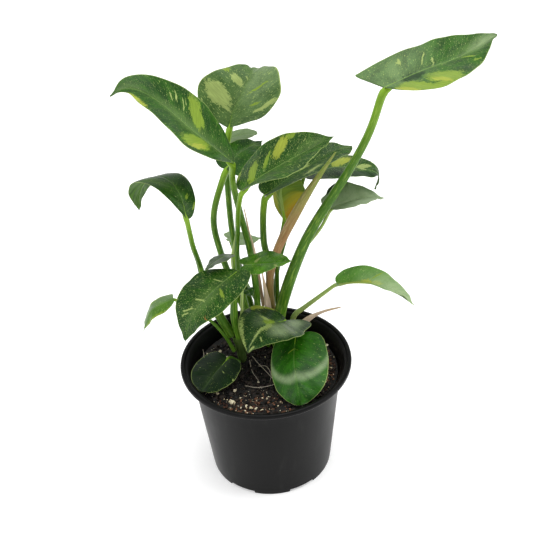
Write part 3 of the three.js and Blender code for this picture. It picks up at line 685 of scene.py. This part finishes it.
def ovals(nodes, place, marks, edge, torn=0.0):
    """The union of ovals in vein space. Each fades out between the two distances of its edge."""
    found = None
    for at_rib, share, half_place, half_share, *strength in marks:
        centred = nodes.vector("SUBTRACT", place, (at_rib, share, 0))
        scaled = nodes.vector("DIVIDE", centred, (half_place, half_share, 1))
        distance = nodes.plus(nodes.vector("LENGTH", scaled, out=1), torn)
        inside = nodes.ramp(distance, *edge, strength[0] if strength else 1.0, 0.0)
        found = inside if found is None else nodes.math("MAXIMUM", found, inside)
    return found


def side_lines(nodes, foot, count, width):
    """Thin lines along the side veins, spaced evenly along the rib."""
    comb = nodes.math("FRACT", nodes.times(foot, count))
    middle = nodes.math("ABSOLUTE", nodes.math("SUBTRACT", comb, 0.5))
    return nodes.ramp(middle, 0.0, width, 1.0, 0.0)


def pale_margin(nodes, green, flat_share):
    """The thin pale line round a blade."""
    return nodes.mix(nodes.ramp(flat_share, 0.975, 0.992, 0.0, 0.7), green, PALE)


def blade_top(blade):
    """Glossy green upper face with pale side veins, flecks, the leaf's own lime patches and painted sheen:
    a grey-green that is partly silvery colour, whitish sheens and a highlight band.
    """
    leaf = blade.leaf
    nodes = Nodes("leaf_top_" + leaf["number"])
    veins, place = vein_space(nodes, blade, leaf["seed"])
    foot = nodes.add("SeparateXYZ", {0: veins})
    share = foot.node.outputs[1]
    flat_share = nodes.math("ABSOLUTE", share)
    cloud = grains(nodes, place, 9, 16, 3.0)
    streak = grains(nodes, place, 0.8, 13, 3.0, 0.6)
    grain = grains(nodes, place, 1.0, 3.0, 4.0, 0.7)
    blend = nodes.plus(nodes.times(cloud, 0.9), nodes.times(streak, 0.3))
    blend = nodes.plus(blend, nodes.times(grain, 0.7))
    low = 0.72 + (0.5 - leaf["base"]) * 0.5
    green = nodes.mix(nodes.ramp(blend, low, low + 0.5), leaf["deep"], leaf["mid"])
    # Grey-green by the rib: partly the blade's silvery colour and partly painted sheen
    grey_and_sheen_by_rib = nodes.ramp(flat_share, 0.0, 0.45, 0.55 * leaf["sheen"], 0.0)
    green = nodes.mix(grey_and_sheen_by_rib, green, GREY_AND_SHEEN)
    wobble = nodes.times(nodes.noise(place, 0.05, 1.0), 0.06)
    thread = side_lines(nodes, nodes.plus(foot, wobble), 2 * VEIN_PAIRS, 0.08)
    green = nodes.mix(nodes.times(thread, leaf["threads"]), green, LINE)
    softened = nodes.ramp(nodes.plus(grain, cloud), 0.7, 1.2, 0.6, 1.0)
    # The grey-green marks are partly the blade's silvery colour and partly painted sheen
    greys = [mark + (GREY_AND_SHEEN_STRENGTH,) for mark in leaf["grey"]]
    # The soft whitish marks are painted sheen, and the grey-green ones are partly so
    for spots, colour in ((greys, GREY_AND_SHEEN), (leaf["bloom"], PAINTED_SHEEN_COLOUR)):
        if spots:
            bloom = nodes.times(ovals(nodes, veins, spots, SOFT_EDGE), softened)
            green = nodes.mix(bloom, green, colour)
    # A painted highlight: a soft whitish band across the blade where it bends
    if leaf["arc"]:
        centre, drop, reach, strength = leaf["arc"]
        bend = nodes.times(nodes.times(share, share), drop)
        away = nodes.math("ABSOLUTE", nodes.math("SUBTRACT", nodes.plus(foot, bend), centre))
        arc = nodes.times(nodes.ramp(away, 0.0, reach, strength, 0.0), softened)
        green = nodes.mix(arc, green, PAINTED_SHEEN_COLOUR)
    for size, detail, rough, rare, gain, cover in (LONG_FLECKS, SHORT_SPECKS):
        fleck = grains(nodes, place, *size, detail, rough)
        limit = rare - gain * leaf["flecks"]
        green = nodes.mix(nodes.ramp(fleck, limit, limit + 0.03, 0.0, cover), green, PALE)
    jagged = grains(nodes, place, 0.7, 6, 3.0, 0.7)
    offset = nodes.add("CombineXYZ", {0: nodes.swing(cloud, 0.08), 1: nodes.swing(jagged, 0.6)})
    ragged = nodes.vector("ADD", veins, offset)
    torn = nodes.swing(grain, 1.5)
    for shade in ("dark", "lime", "yellow", "pale", "rust"):
        if leaf[shade]:
            mask = ovals(nodes, ragged, leaf[shade], CRISP_EDGE, torn)
            tint = nodes.mix(nodes.ramp(streak, 0.35, 0.68), dim(SHADES[shade], 0.74), SHADES[shade])
            green = nodes.mix(nodes.times(mask, 0.95), green, tint)
    across = nodes.times(flat_share, blade.leaf["width"] / 2)
    rib = nodes.ramp(across, 0.35, 0.9, 0.85, 0.0)
    green = nodes.mix(nodes.times(rib, leaf["midrib"]), green, LINE)
    green = pale_margin(nodes, green, flat_share)
    normal = nodes.bump(nodes.plus(nodes.times(thread, -0.5), nodes.times(streak, 0.5)), 0.35, 0.0003)
    rough = nodes.ramp(cloud, 0.3, 0.7, 0.28, 0.38)
    return nodes.finish(green, rough, normal, Specular_IOR_Level=0.17)


def blade_under(blade):
    """Duller, paler under face with raised veins."""
    leaf = blade.leaf
    nodes = Nodes("leaf_under_" + leaf["number"])
    veins, place = vein_space(nodes, blade, leaf["seed"] + 3)
    foot = nodes.add("SeparateXYZ", {0: veins})
    flat_share = nodes.math("ABSOLUTE", foot.node.outputs[1])
    cloud = grains(nodes, place, 5, 20, 3.0)
    streak = grains(nodes, place, 1.0, 12, 2.0)
    deep = leaf["under_deep"]
    green = nodes.mix(nodes.ramp(cloud, 0.35, 0.65), deep, leaf["under"])
    ragged = nodes.vector("ADD", veins, nodes.add("CombineXYZ", {1: nodes.swing(cloud, 0.3)}))
    for shade in ("lime", "yellow", "pale"):
        marks = [mark for mark in leaf[shade] if mark[2] > SMALL_MARK]
        if marks:
            mask = ovals(nodes, ragged, marks, CRISP_EDGE)
            green = nodes.mix(nodes.times(mask, 0.75), green, SHADES[shade])
    for spot, colour in leaf["under_marks"]:
        green = nodes.mix(ovals(nodes, ragged, [spot], SOFT_EDGE), green, colour)
    thread = side_lines(nodes, foot, VEIN_PAIRS, 0.1)
    green = nodes.mix(nodes.times(thread, 0.3), green, LINE)
    across = nodes.times(flat_share, blade.leaf["width"] / 2)
    green = nodes.mix(nodes.ramp(across, 1.0, 1.9, 0.85, 0.0), green, leaf["under_midrib"])
    green = pale_margin(nodes, green, flat_share)
    normal = nodes.bump(nodes.plus(thread, nodes.times(streak, 0.4)), 0.3, 0.0003)
    return nodes.finish(green, 0.55, normal, Specular_IOR_Level=0.2)


def leaf_relief(blade, along, across, veins, shares, hand):
    """Heights of the upper and lower face: sunken midrib, ridge below, quilted veins, wavy margin."""
    seed = blade.leaf["seed"] + hand * 1.7
    left = 1 - np.clip(along / blade.length, 0, 1)
    distance = np.abs(across)
    size = min(1.0, blade.leaf["width"] / FULL_RELIEF_WIDTH)
    circle = 2 * np.pi
    quilt = size * QUILT_HEIGHT * np.cos(circle * VEIN_PAIRS * veins)
    quilt = quilt * np.sin(np.pi * np.minimum(shares * 1.1, 1))
    slow = WAVE_HEIGHT * np.sin(circle * 2.3 * veins + seed)
    quick = WAVE_HEIGHT / 2 * np.sin(circle * 5.1 * veins + 2.1 * seed)
    wave = size * shares ** 2 * (slow + quick)
    thick = VISUAL_HALF_THICKNESS * (1 - 0.6 * shares ** 6)
    groove = GROOVE_DEPTH * size * np.exp(-(distance / GROOVE_WIDTH) ** 2) * left ** 0.3
    ridge = size * (0.25 + 1.1 * left) * np.exp(-(distance / (0.7 + 0.9 * size * left)) ** 2)
    return thick - groove + quilt + wave, -thick - ridge + quilt + wave


def make_blade(leaf):
    """One leaf blade with its own upper and lower faces, closed round the margin."""
    blade = Blade(leaf)
    rows, columns = (91, 15) if leaf["width"] > SMALL_LEAF else (46, 9)
    stations = np.linspace(0, len(VEIN_FEET) - 1, rows)
    shares = np.append(np.linspace(0, 1, columns) ** 1.5, 1.0)
    shares[-2] = 0.975
    shares = shares[None, :]
    points, uvs, faces, face_materials = [], [], [], []
    for hand in (0, 1):
        along, across, veins = blade.grid(hand, stations, shares)
        levels = leaf_relief(blade, along, across, veins, shares, hand)
        start = sum(len(block) for block in points)
        signed = np.broadcast_to((1 if hand else -1) * shares, along.shape)
        for level in levels:
            points.append(blade.point(along, across, level).reshape(-1, 3))
            uvs.append(np.stack([veins, signed], -1).reshape(-1, 2))
        index = start + np.arange(along.size).reshape(along.shape)
        a, b, c, d = index[:-1, :-1], index[:-1, 1:], index[1:, 1:], index[1:, :-1]
        upper = np.stack([a, b, c, d], -1).reshape(-1, 4)
        lower = upper[:, ::-1] + along.size
        low, high = index[:-1, -1], index[1:, -1]
        rim = np.stack([low, low + along.size, high + along.size, high], -1)
        for block, slot in ((upper, 0), (lower, 1), (rim, 1)):
            faces.append(block if hand else block[:, ::-1])
            face_materials.append(np.full(len(block), slot))
    make_piece(
        "blade_" + leaf["number"], np.vstack(points), np.vstack(faces), {"veins": np.vstack(uvs)},
        ["leaf_" + leaf["number"] + "_blade"], [blade_top(blade), blade_under(blade)],
        np.concatenate(face_materials), 50,
    )


def tube(centres, radii, section):
    """Points, faces and UV maps of a tube. section(share) gives its x and y for radius one."""
    centres = np.asarray(centres, float)
    forward = unit(np.gradient(centres, axis=0))
    sides = [unit(np.cross(forward[0], [0.3, 1, 0.2]))]
    for direction in forward[1:]:
        sides.append(unit(sides[-1] - direction * (sides[-1] @ direction)))
    ups = np.cross(forward, np.array(sides))
    shares = np.linspace(0, 1, len(centres))
    rings = []
    for index, share in enumerate(shares):
        x, y = section(share)
        rings.append(centres[index] + radii[index] * (x[:, None] * sides[index] + y[:, None] * ups[index]))
    count = len(rings[0])
    last = (len(centres) - 1) * count
    faces = []
    for low in range(0, last, count):
        for k in range(count):
            following = (k + 1) % count
            faces.append((low + k, low + following, low + count + following, low + count + k))
    faces.append(tuple(range(count - 1, -1, -1)))
    faces.append(tuple(range(last, last + count)))
    reach = np.concatenate([[0], np.cumsum(np.linalg.norm(np.diff(centres, axis=0), axis=1))])
    around = np.tile(np.arange(count) / count, len(centres))
    skin, length = (np.stack([np.repeat(along, count), around], -1) for along in (reach / 100, shares))
    return np.vstack(rings), faces, {"skin": skin, "length": length}


def round_section(count, groove):
    """A round section with a shallow groove along one side."""
    angles = np.linspace(0, 2 * np.pi, count, endpoint=False)
    dent = 1 - groove * np.exp(-((angles - np.pi) / 0.45) ** 2)
    ribs = 1 + 0.012 * np.cos(7 * angles)
    return lambda share: (np.cos(angles) * dent * ribs, np.sin(angles) * dent * ribs)


def skin_material(name, low, middle, top, ridge, rough, turns=(0.0, 0.45, 0.6, 1.0)):
    """Skin streaked lengthwise. Its colour changes from foot to top at the shares in turns."""
    low, middle, top, ridge = (srgb(*colour) for colour in (low, middle, top, ridge))
    nodes = Nodes(name)
    parts = nodes.add("SeparateXYZ", {0: nodes.add("UVMap", uv_map="skin")})
    turn = nodes.times(parts.node.outputs[1], 2 * math.pi)
    around = nodes.add("CombineXYZ", {
        0: nodes.math("COSINE", turn), 1: nodes.math("SINE", turn), 2: nodes.times(parts, 2.2),
    })
    streak = nodes.noise(around, 3.2, 3.0, 0.6)
    cloud = nodes.noise(around, 0.9, 2.0)
    share = nodes.add("SeparateXYZ", {0: nodes.add("UVMap", uv_map="length")})
    colour = nodes.mix(nodes.ramp(share, turns[0], turns[1]), low, middle)
    colour = nodes.mix(nodes.ramp(share, turns[2], turns[3]), colour, top)
    colour = nodes.mix(nodes.ramp(streak, 0.48, 0.75, 0.0, 0.75), colour, ridge)
    colour = nodes.mix(nodes.ramp(cloud, 0.5, 0.75, 0.0, 0.45), colour, dim(middle, 0.66))
    fleck = nodes.noise(nodes.stretch(around, (6, 6, 5)), 2.4, 1.0)
    colour = nodes.mix(nodes.ramp(fleck, 0.66, 0.72, 0.0, 0.35), colour, ridge)
    return nodes.finish(colour, rough, nodes.bump(streak, 0.3, 0.0004), Specular_IOR_Level=0.25)


def make_tube(name, centres, radii, section, node, skin):
    """One piece in the form of a tube."""
    points, faces, uvs = tube(centres, radii, section)
    make_piece(name, points, faces, uvs, [node], [skins[skin]])


def spread(values, shares):
    """Values set evenly from 0 to 1, read at the given shares."""
    return np.interp(shares, np.linspace(0, 1, len(values)), values)


def make_stalk(leaf):
    """A leaf stalk from the mix or stem up to the blade, running on under the midrib."""
    blade = Blade(leaf)
    line = Line(leaf["stalk"] + [leaf["rib"][0]])
    thick = leaf["thick"]
    foot, top = thick[0], thick[-1]
    if len(thick) == 2:
        thick = (foot, (foot + top) / 2, top, top)
    distances = np.linspace(0, line.length - 0.6 * top, 56)
    shares = distances / line.length
    radii = spread(thick, shares) * np.interp(shares, [0, 0.05, 0.93, 1], [1.1, 1, 1, 1.1])
    under = np.linspace(top * 0.95, 0.7, 9)
    place, _, up = blade.frame(np.linspace(1.5, min(11, blade.length * 0.2), 9))
    centres = np.vstack([line.at(distances), place - up * under[:, None]])
    for _ in range(3):
        centres[1:-1] = (centres[:-2] + 2 * centres[1:-1] + centres[2:]) / 4
    make_tube(
        "stalk_" + leaf["number"], centres, np.concatenate([radii, under]), round_section(18, 0.14),
        "leaf_" + leaf["number"] + "_stalk", leaf["skin"],
    )


def make_strand(name, points, radii, node, skin, rings, section, swell=lambda shares: 1):
    """A tube along a smooth curve, which swell(shares) widens here and there."""
    line = Line(points)
    shares = np.linspace(0, 1, rings)
    radii = spread(radii, shares) * swell(shares)
    make_tube(name, line.at(shares * line.length), radii, section, node, skin)


def stem_swell(shares):
    """The swollen nodes of a stem, and its top drawn in a little."""
    rings = sum(np.exp(-((shares - node) / 0.025) ** 2) for node in (0.42, 0.62, 0.82))
    return (1 + 0.07 * rings) * np.where(shares > 0.96, 0.93, 1)


def rolled_section(share):
    """The section of a leaf still rolled up: one lap ends in a step that runs up its side."""
    angles = np.linspace(0, 2 * np.pi, 36)
    radius = 0.86 + 0.17 * angles / (2 * np.pi)
    radius = radius - 0.1 * np.exp(-((angles - 4.1) / 0.22) ** 2)
    twist = 0.9 + 1.2 * share
    return 1.08 * radius * np.cos(angles + twist), radius * np.sin(angles + twist)


def sheath_section(share):
    """A strip hollow on one side, turning a little on its way up."""
    sweep = np.radians(np.linspace(-80, 80, 13))
    outer = np.stack([np.sin(sweep), np.cos(sweep) - 0.5], 1)
    x, y = np.vstack([outer, outer[::-1] * 0.82 - [0, 0.08]]).T
    cosine, sine = math.cos(1.5 * share), math.sin(1.5 * share)
    return x * cosine - y * sine, x * sine + y * cosine


def wall_radius(height):
    """Outer radius of the pot's tapered wall."""
    return BASE_RADIUS + (SHOULDER_RADIUS - BASE_RADIUS) * height / SHOULDER_HEIGHT


def circle_point(radius, angle):
    return radius * math.cos(angle), radius * math.sin(angle)


def turned(profile, angles, shape):
    """Points, faces and UVs of a profile turned round Z. shape(radius, height, angle) may move a point."""
    points, faces, uvs = [], [], []
    count = len(profile)
    for ring, angle in enumerate(angles):
        start = ring * count
        following = ((ring + 1) % len(angles)) * count
        for k, (radius, height) in enumerate(profile):
            radius_here, height_here = shape(radius, height, angle)
            points.append((*circle_point(radius_here, angle), height_here))
            uvs.append((angle / (2 * math.pi), k / count))
            if k < count - 1:
                faces.append((start + k, following + k, following + k + 1, start + k + 1))
    return np.array(points), faces, {"around": np.array(uvs)}


def pot_material():
    """Matte charcoal moulded plastic with faint turned lines and a soft sheen."""
    nodes = Nodes("pot_plastic")
    place = nodes.add("TexCoord", out=3)
    cloud = nodes.noise(place, 14.0, 3.0)
    grain = nodes.noise(place, 900.0, 2.0)
    rings = nodes.noise(nodes.stretch(place, (12, 12, 900)), 1.0, 2.0)
    dust = nodes.noise(nodes.stretch(place, (60, 60, 18)), 1.0, 4.0, 0.6)
    colour = nodes.mix(nodes.ramp(cloud, 0.3, 0.7), srgb(8, 8, 8), srgb(13, 13, 13))
    colour = nodes.mix(nodes.ramp(dust, 0.55, 0.8, 0.0, 0.3), colour, srgb(46, 47, 44))
    rough = nodes.ramp(cloud, 0.3, 0.7, 0.3, 0.4)
    height = nodes.plus(nodes.times(rings, 0.5), nodes.times(grain, 0.3))
    return nodes.finish(colour, rough, nodes.bump(height, 0.18, 0.0003), Specular_IOR_Level=0.1)


def make_pot():
    """Thin moulded pot: foot ring with drain notches, tapered wall, flared shoulder and ringed rim."""
    foot_inside = BASE_RADIUS - FOOT_WIDTH
    floor_top = FOOT_HEIGHT + WALL_THICKNESS
    outside = [
        (0, 0), (33, 0), (34, 0.4), (35, FOOT_HEIGHT), (foot_inside - 1.5, FOOT_HEIGHT),
        (foot_inside - 0.2, 0.3), (foot_inside, 0), (BASE_RADIUS - 0.8, 0), (BASE_RADIUS - 0.2, 0.25),
        (BASE_RADIUS, 0.8),
    ]
    wall = [(wall_radius(h), h) for h in np.linspace(FOOT_HEIGHT, SHOULDER_HEIGHT, 24)]
    # By the shoulder points are (out from its radius, height), by the rim (back from its radius, height)
    near_shoulder = [(0, SHOULDER_HEIGHT), (0.9, 112.5), (3.5, 116.5), (7.5, 119)]
    near_rim = [(0.7, 120.4), (0, 122), (0.5, 124.2), (2, POT_HEIGHT)]
    shoulder = [(SHOULDER_RADIUS + out, height) for out, height in near_shoulder]
    shoulder += [(RIM_RADIUS - back, height) for back, height in near_rim]
    rounded = spline(shoulder, np.linspace(0, len(shoulder) - 1, 36))
    near_rim = [(3.2, 124.9), (3.9, 124.5), (4.3, 123.5), (4.7, 122.8), (6.2, 122.2), (7.0, 121.5)]
    near_shoulder = [(2.6, 119.4), (1.4, 118.0), (0.9, 116.9), (-0.4, 114)]
    near_shoulder.append((-WALL_THICKNESS, SHOULDER_HEIGHT))
    inside = [(RIM_RADIUS - back, height) for back, height in near_rim]
    inside += [(SHOULDER_RADIUS + out, height) for out, height in near_shoulder]
    inside += [
        (wall_radius(floor_top + 1) - WALL_THICKNESS, floor_top + 1),
        (wall_radius(floor_top) - WALL_THICKNESS - 1, floor_top), (34, floor_top), (32, WALL_THICKNESS),
        (0, WALL_THICKNESS),
    ]
    profile = outside + wall + [tuple(point) for point in rounded[1:]] + inside
    half_notch = math.asin(NOTCH_WIDTH / 2 / BASE_RADIUS)
    centres = [math.radians(FIRST_NOTCH + 360 / NOTCHES * k) for k in range(NOTCHES)]
    angles = {round(math.radians(2 * k), 5) for k in range(180)}
    for centre in centres:
        for edge in (centre - half_notch, centre + half_notch):
            for nudge in (-0.003, 0.003):
                angles.add(round((edge + nudge) % (2 * math.pi), 5))

    def shape(radius, height, angle):
        turns = [(angle - centre + math.pi) % (2 * math.pi) - math.pi for centre in centres]
        in_notch = min(abs(turn) for turn in turns) < half_notch
        if in_notch and radius > foot_inside - 2 and height < NOTCH_HEIGHT:
            return max(radius, foot_inside - 1.4), NOTCH_HEIGHT
        return radius, height

    points, faces, uvs = turned(profile, sorted(angles), shape)
    make_piece("pot", points, faces, uvs, ["nursery_pot"], [pot_material()], sharp=35)


def mix_rise(x, y):
    """Height of the gentle unevenness of the mix."""
    coarse = np.sin(x * 0.11 + 1) * np.cos(y * 0.13 - 0.5)
    fine = np.sin(x * 0.31 - y * 0.23) * 0.4
    return 0.8 * (coarse + fine)


def soil_material():
    """Moist dark mix with brown fibres."""
    nodes = Nodes("potting_mix")
    place = nodes.add("TexCoord", out=3)
    clods = nodes.noise(place, 260.0, 4.0, 0.7)
    fibres = nodes.noise(nodes.stretch(place, (900, 260, 500)), 1.0, 2.0)
    colour = nodes.mix(nodes.ramp(clods, 0.35, 0.7), srgb(10, 10, 9), srgb(28, 24, 20))
    colour = nodes.mix(nodes.ramp(fibres, 0.68, 0.76, 0.0, 0.4), colour, srgb(86, 68, 52))
    height = nodes.plus(clods, nodes.times(fibres, 0.4))
    return nodes.finish(colour, 0.7, nodes.bump(height, 0.8, 0.002), Specular_IOR_Level=0.4)


def make_soil():
    """The body of the potting mix with a rough crumbled top."""
    grit = random.Random(5)
    floor_top = FOOT_HEIGHT + WALL_THICKNESS + 0.3
    edge_height = MIX_HEIGHT - 3
    top_radius = wall_radius(edge_height) - WALL_THICKNESS - 0.5
    profile = [
        (0, 1.8), (31.4, 1.8), (33.6, floor_top), (57.5, floor_top), (58.6, floor_top + 1.2),
        (top_radius, edge_height), (top_radius - 0.3, MIX_HEIGHT - 1),
    ]
    profile += [(radius, MIX_HEIGHT) for radius in np.linspace(top_radius - 0.8, 0, 56)]
    bumps = {}

    def shape(radius, height, angle):
        if height < MIX_HEIGHT - 0.5:
            return radius, height
        x, y = circle_point(radius, angle)
        key = (round(x), round(y))
        if key not in bumps:
            bumps[key] = grit.uniform(-0.9, 0.9)
        return radius, height + float(mix_rise(x, y)) + (bumps[key] if radius > 0.5 else 0) - 0.6

    points, faces, uvs = turned(profile, [2 * math.pi * k / 200 for k in range(200)], shape)
    make_piece("soil", points, faces, uvs, ["potting_mix"], [soil_material()], sharp=80)


def lump(rng, centre, size, squash, rough, level):
    """Points and faces of one uneven lump."""
    body = bmesh.new()
    bmesh.ops.create_icosphere(body, subdivisions=level, radius=1)
    turn = Vector((rng.uniform(-1, 1), rng.uniform(-1, 1), rng.uniform(-1, 1)))
    spin = rng.uniform(0, math.pi)
    scale = (1, rng.uniform(0.6, 0.95), squash * rng.uniform(0.8, 1.2))
    upright = Vector((0, 0, 1))
    tilt = upright.rotation_difference(Vector((turn.x * 0.5, turn.y * 0.5, 1)).normalized())
    points = []
    for vert in body.verts:
        swell = 1 + rng.uniform(-rough, rough)
        place = Vector([vert.co[k] * scale[k] * swell for k in range(3)])
        place.rotate(tilt)
        x = place.x * math.cos(spin) - place.y * math.sin(spin)
        y = place.x * math.sin(spin) + place.y * math.cos(spin)
        points.append((centre[0] + size * x, centre[1] + size * y, centre[2] + size * place.z))
    faces = [[vert.index for vert in face.verts] for face in body.faces]
    body.free()
    return points, faces


def make_lumps(name, seed, spots, squash, rough, level, sharp, material):
    """Many lumps joined into one piece. A spot is (x, y, size)."""
    rng = random.Random(seed)
    points, faces = [], []
    for x, y, size in spots:
        height = MIX_HEIGHT + float(mix_rise(x, y)) + 0.15 * size
        more_points, more_faces = lump(rng, (x, y, height), size, squash, rough, level)
        start = len(points)
        points += more_points
        faces += [[start + k for k in face] for face in more_faces]
    make_piece(name, points, faces, {}, [], [material], sharp=sharp)


def scatter(seed, count, sizes, accept):
    """Random spots on the mix where accept(x, y) gives a chance from 0 to 1."""
    rng = random.Random(seed)
    spots = []
    while len(spots) < count:
        radius = SCATTER_RADIUS * math.sqrt(rng.random())
        x, y = circle_point(radius, rng.uniform(0, 2 * math.pi))
        size = rng.uniform(*sizes) * rng.uniform(0.6, 1)
        if rng.random() < accept(x, y) and radius + size < SCATTER_RADIUS + 1.5:
            spots.append((x, y, size))
    return spots


def crumb_material(name, dark, light, rough, scale):
    """Grain for bark, perlite and crumbs, a different tone for each lump."""
    nodes = Nodes(name)
    place = nodes.add("TexCoord", out=3)
    tone = nodes.noise(place, scale, 1.0)
    grain = nodes.noise(place, scale * 9, 3.0, 0.7)
    colour = nodes.mix(nodes.ramp(tone, 0.35, 0.65), dark, light)
    colour = nodes.mix(nodes.ramp(grain, 0.5, 0.75, 0.0, 0.7), colour, dim(dark, 0.45))
    return nodes.finish(colour, rough, nodes.bump(grain, 0.6, 0.0006), Specular_IOR_Level=0.3)


def near_edges(x, y):
    """Bark and perlite lie thickest at the front left edge and along the right edge."""
    near_front = math.exp(-((x + 18) / 26) ** 2 - ((y + 52) / 12) ** 2)
    near_right = math.exp(-((math.hypot(x, y) - 62) / 7) ** 2) if x > 35 and abs(y) < 45 else 0
    return min(1, near_front + 0.8 * near_right)


def make_top_dressing():
    """Crumbs, bark chips, light slivers and perlite that lie loose on the mix."""
    bark = crumb_material("bark", srgb(54, 32, 22), srgb(122, 84, 60), 0.8, 150.0)
    perlite = crumb_material("perlite", srgb(188, 174, 140), srgb(230, 220, 190), 0.85, 120.0)
    crumbs = crumb_material("crumbs", srgb(11, 10, 9), srgb(42, 32, 25), 0.6, 170.0)
    slivers = crumb_material("slivers", srgb(120, 112, 96), srgb(176, 168, 148), 0.8, 160.0)
    everywhere = scatter(1, 1500, (0.7, 3.2), lambda x, y: 1)
    make_lumps("crumbs", 11, everywhere, 0.8, 0.45, 1, 12, crumbs)
    make_lumps("bark_chips", 12, scatter(2, 420, (0.6, 2.2), near_edges), 0.55, 0.35, 1, 15, bark)
    fine = scatter(3, 190, (0.4, 1.3), lambda x, y: 0.03 + 0.97 * near_edges(x, y))
    mostly_left = scatter(4, 330, (0.3, 1.0), lambda x, y: 1 if x < 0 else 0.4)
    make_lumps("slivers", 14, mostly_left, 0.4, 0.35, 1, 15, slivers)
    make_lumps("perlite", 13, PERLITE + fine, 0.6, 0.28, 2, 24, perlite)


def make_roots():
    """Fine pale roots lying on the mix."""
    points, faces, uvs = [], [], []
    for root in ROOTS:
        line = Line(root)
        centres = line.at(np.linspace(0, line.length, ROOT_RINGS))
        radii = np.linspace(0.42, 0.2, ROOT_RINGS)
        more, more_faces, maps = tube(centres, radii, round_section(8, 0.0))
        start = sum(len(block) for block in points)
        points.append(more)
        faces += [tuple(start + k for k in face) for face in more_faces]
        uvs.append(maps)
    joined = {label: np.vstack([maps[label] for maps in uvs]) for label in ("skin", "length")}
    make_piece("roots", np.vstack(points), faces, joined, [], [skins["root_skin"]])


def add_light(name, place, size, power):
    """A large soft area light that points at the plant."""
    light = bpy.data.lights.new(name, "AREA")
    light.shape = "RECTANGLE"
    light.size, light.size_y = size
    light.energy = power
    lamp = place_in_scene(name, light)
    lamp.location = place
    lamp.rotation_euler = (Vector(LIGHT_TARGET) - Vector(place)).to_track_quat("-Z", "Y").to_euler()


def make_studio():
    """White floor, pale surroundings, soft lights."""
    mesh = bpy.data.meshes.new("floor")
    signs = ((-1, -1), (1, -1), (1, 1), (-1, 1))
    corners = [(x * FLOOR_HALF, y * FLOOR_HALF, FLOOR_LEVEL) for x, y in signs]
    mesh.from_pydata(corners, [], [(0, 1, 2, 3)])
    floor = place_in_scene("floor", mesh)
    white = Nodes("floor_white").finish(
        (FLOOR_WHITE, FLOOR_WHITE, FLOOR_WHITE), 0.8, Specular_IOR_Level=0.1, Emission_Strength=0.3,
    )
    mesh.materials.append(white)
    world = bpy.data.worlds.new("surroundings")
    world.use_nodes = True
    background = world.node_tree.nodes["Background"]
    background.inputs["Color"].default_value = (1, 1, 1, 1)
    background.inputs["Strength"].default_value = WORLD_STRENGTH
    bpy.context.scene.world = world
    for name, place, size, power in LIGHTS:
        add_light(name, place, size, power)


def make_camera():
    """The photograph's camera, from the front and above."""
    pitch, yaw, roll = (math.radians(angle) for angle in (CAMERA_PITCH, CAMERA_YAW, CAMERA_ROLL))
    forward = Vector((math.sin(yaw) * math.cos(pitch), math.cos(yaw) * math.cos(pitch), -math.sin(pitch)))
    level = Vector((math.cos(yaw), -math.sin(yaw), 0))
    upright = level.cross(forward)
    right = level * math.cos(roll) + upright * math.sin(roll)
    up = upright * math.cos(roll) - level * math.sin(roll)
    data = bpy.data.cameras.new("camera")
    data.sensor_width = SENSOR_WIDTH
    data.lens = SENSOR_WIDTH * FOCAL_LENGTH_PIXELS / PHOTO_WIDTH_PIXELS
    data.clip_end = 50
    camera = place_in_scene("camera", data)
    matrix = camera.matrix_world.copy()
    for row in range(3):
        matrix[row][:3] = right[row], up[row], -forward[row]
    matrix.translation = Vector(CAMERA_PLACE)
    camera.matrix_world = matrix
    bpy.context.scene.camera = camera


view = bpy.context.scene.view_settings
view.view_transform = "Standard"
view.look = "None"
make_studio()
make_camera()
make_pot()
make_soil()
make_top_dressing()
skins = {name: skin_material(name, *values) for name, values in SKINS.items()}
make_roots()
for name, points, radii in STEMS:
    section = round_section(28, 0.05)
    make_strand(name, points, radii, name, "stem_skin", 40, section, stem_swell)
make_strand(
    "new_leaf", SPEAR, SPEAR_RADII, "new_leaf_spear", "spear_skin", 90, rolled_section,
)
for name, points, radii, skin, slot in SHEATHS:
    make_strand(name + "_strip", points, radii, name, skin, 60, sheath_section)
for leaf in LEAVES:
    make_stalk(leaf)
    make_blade(leaf)
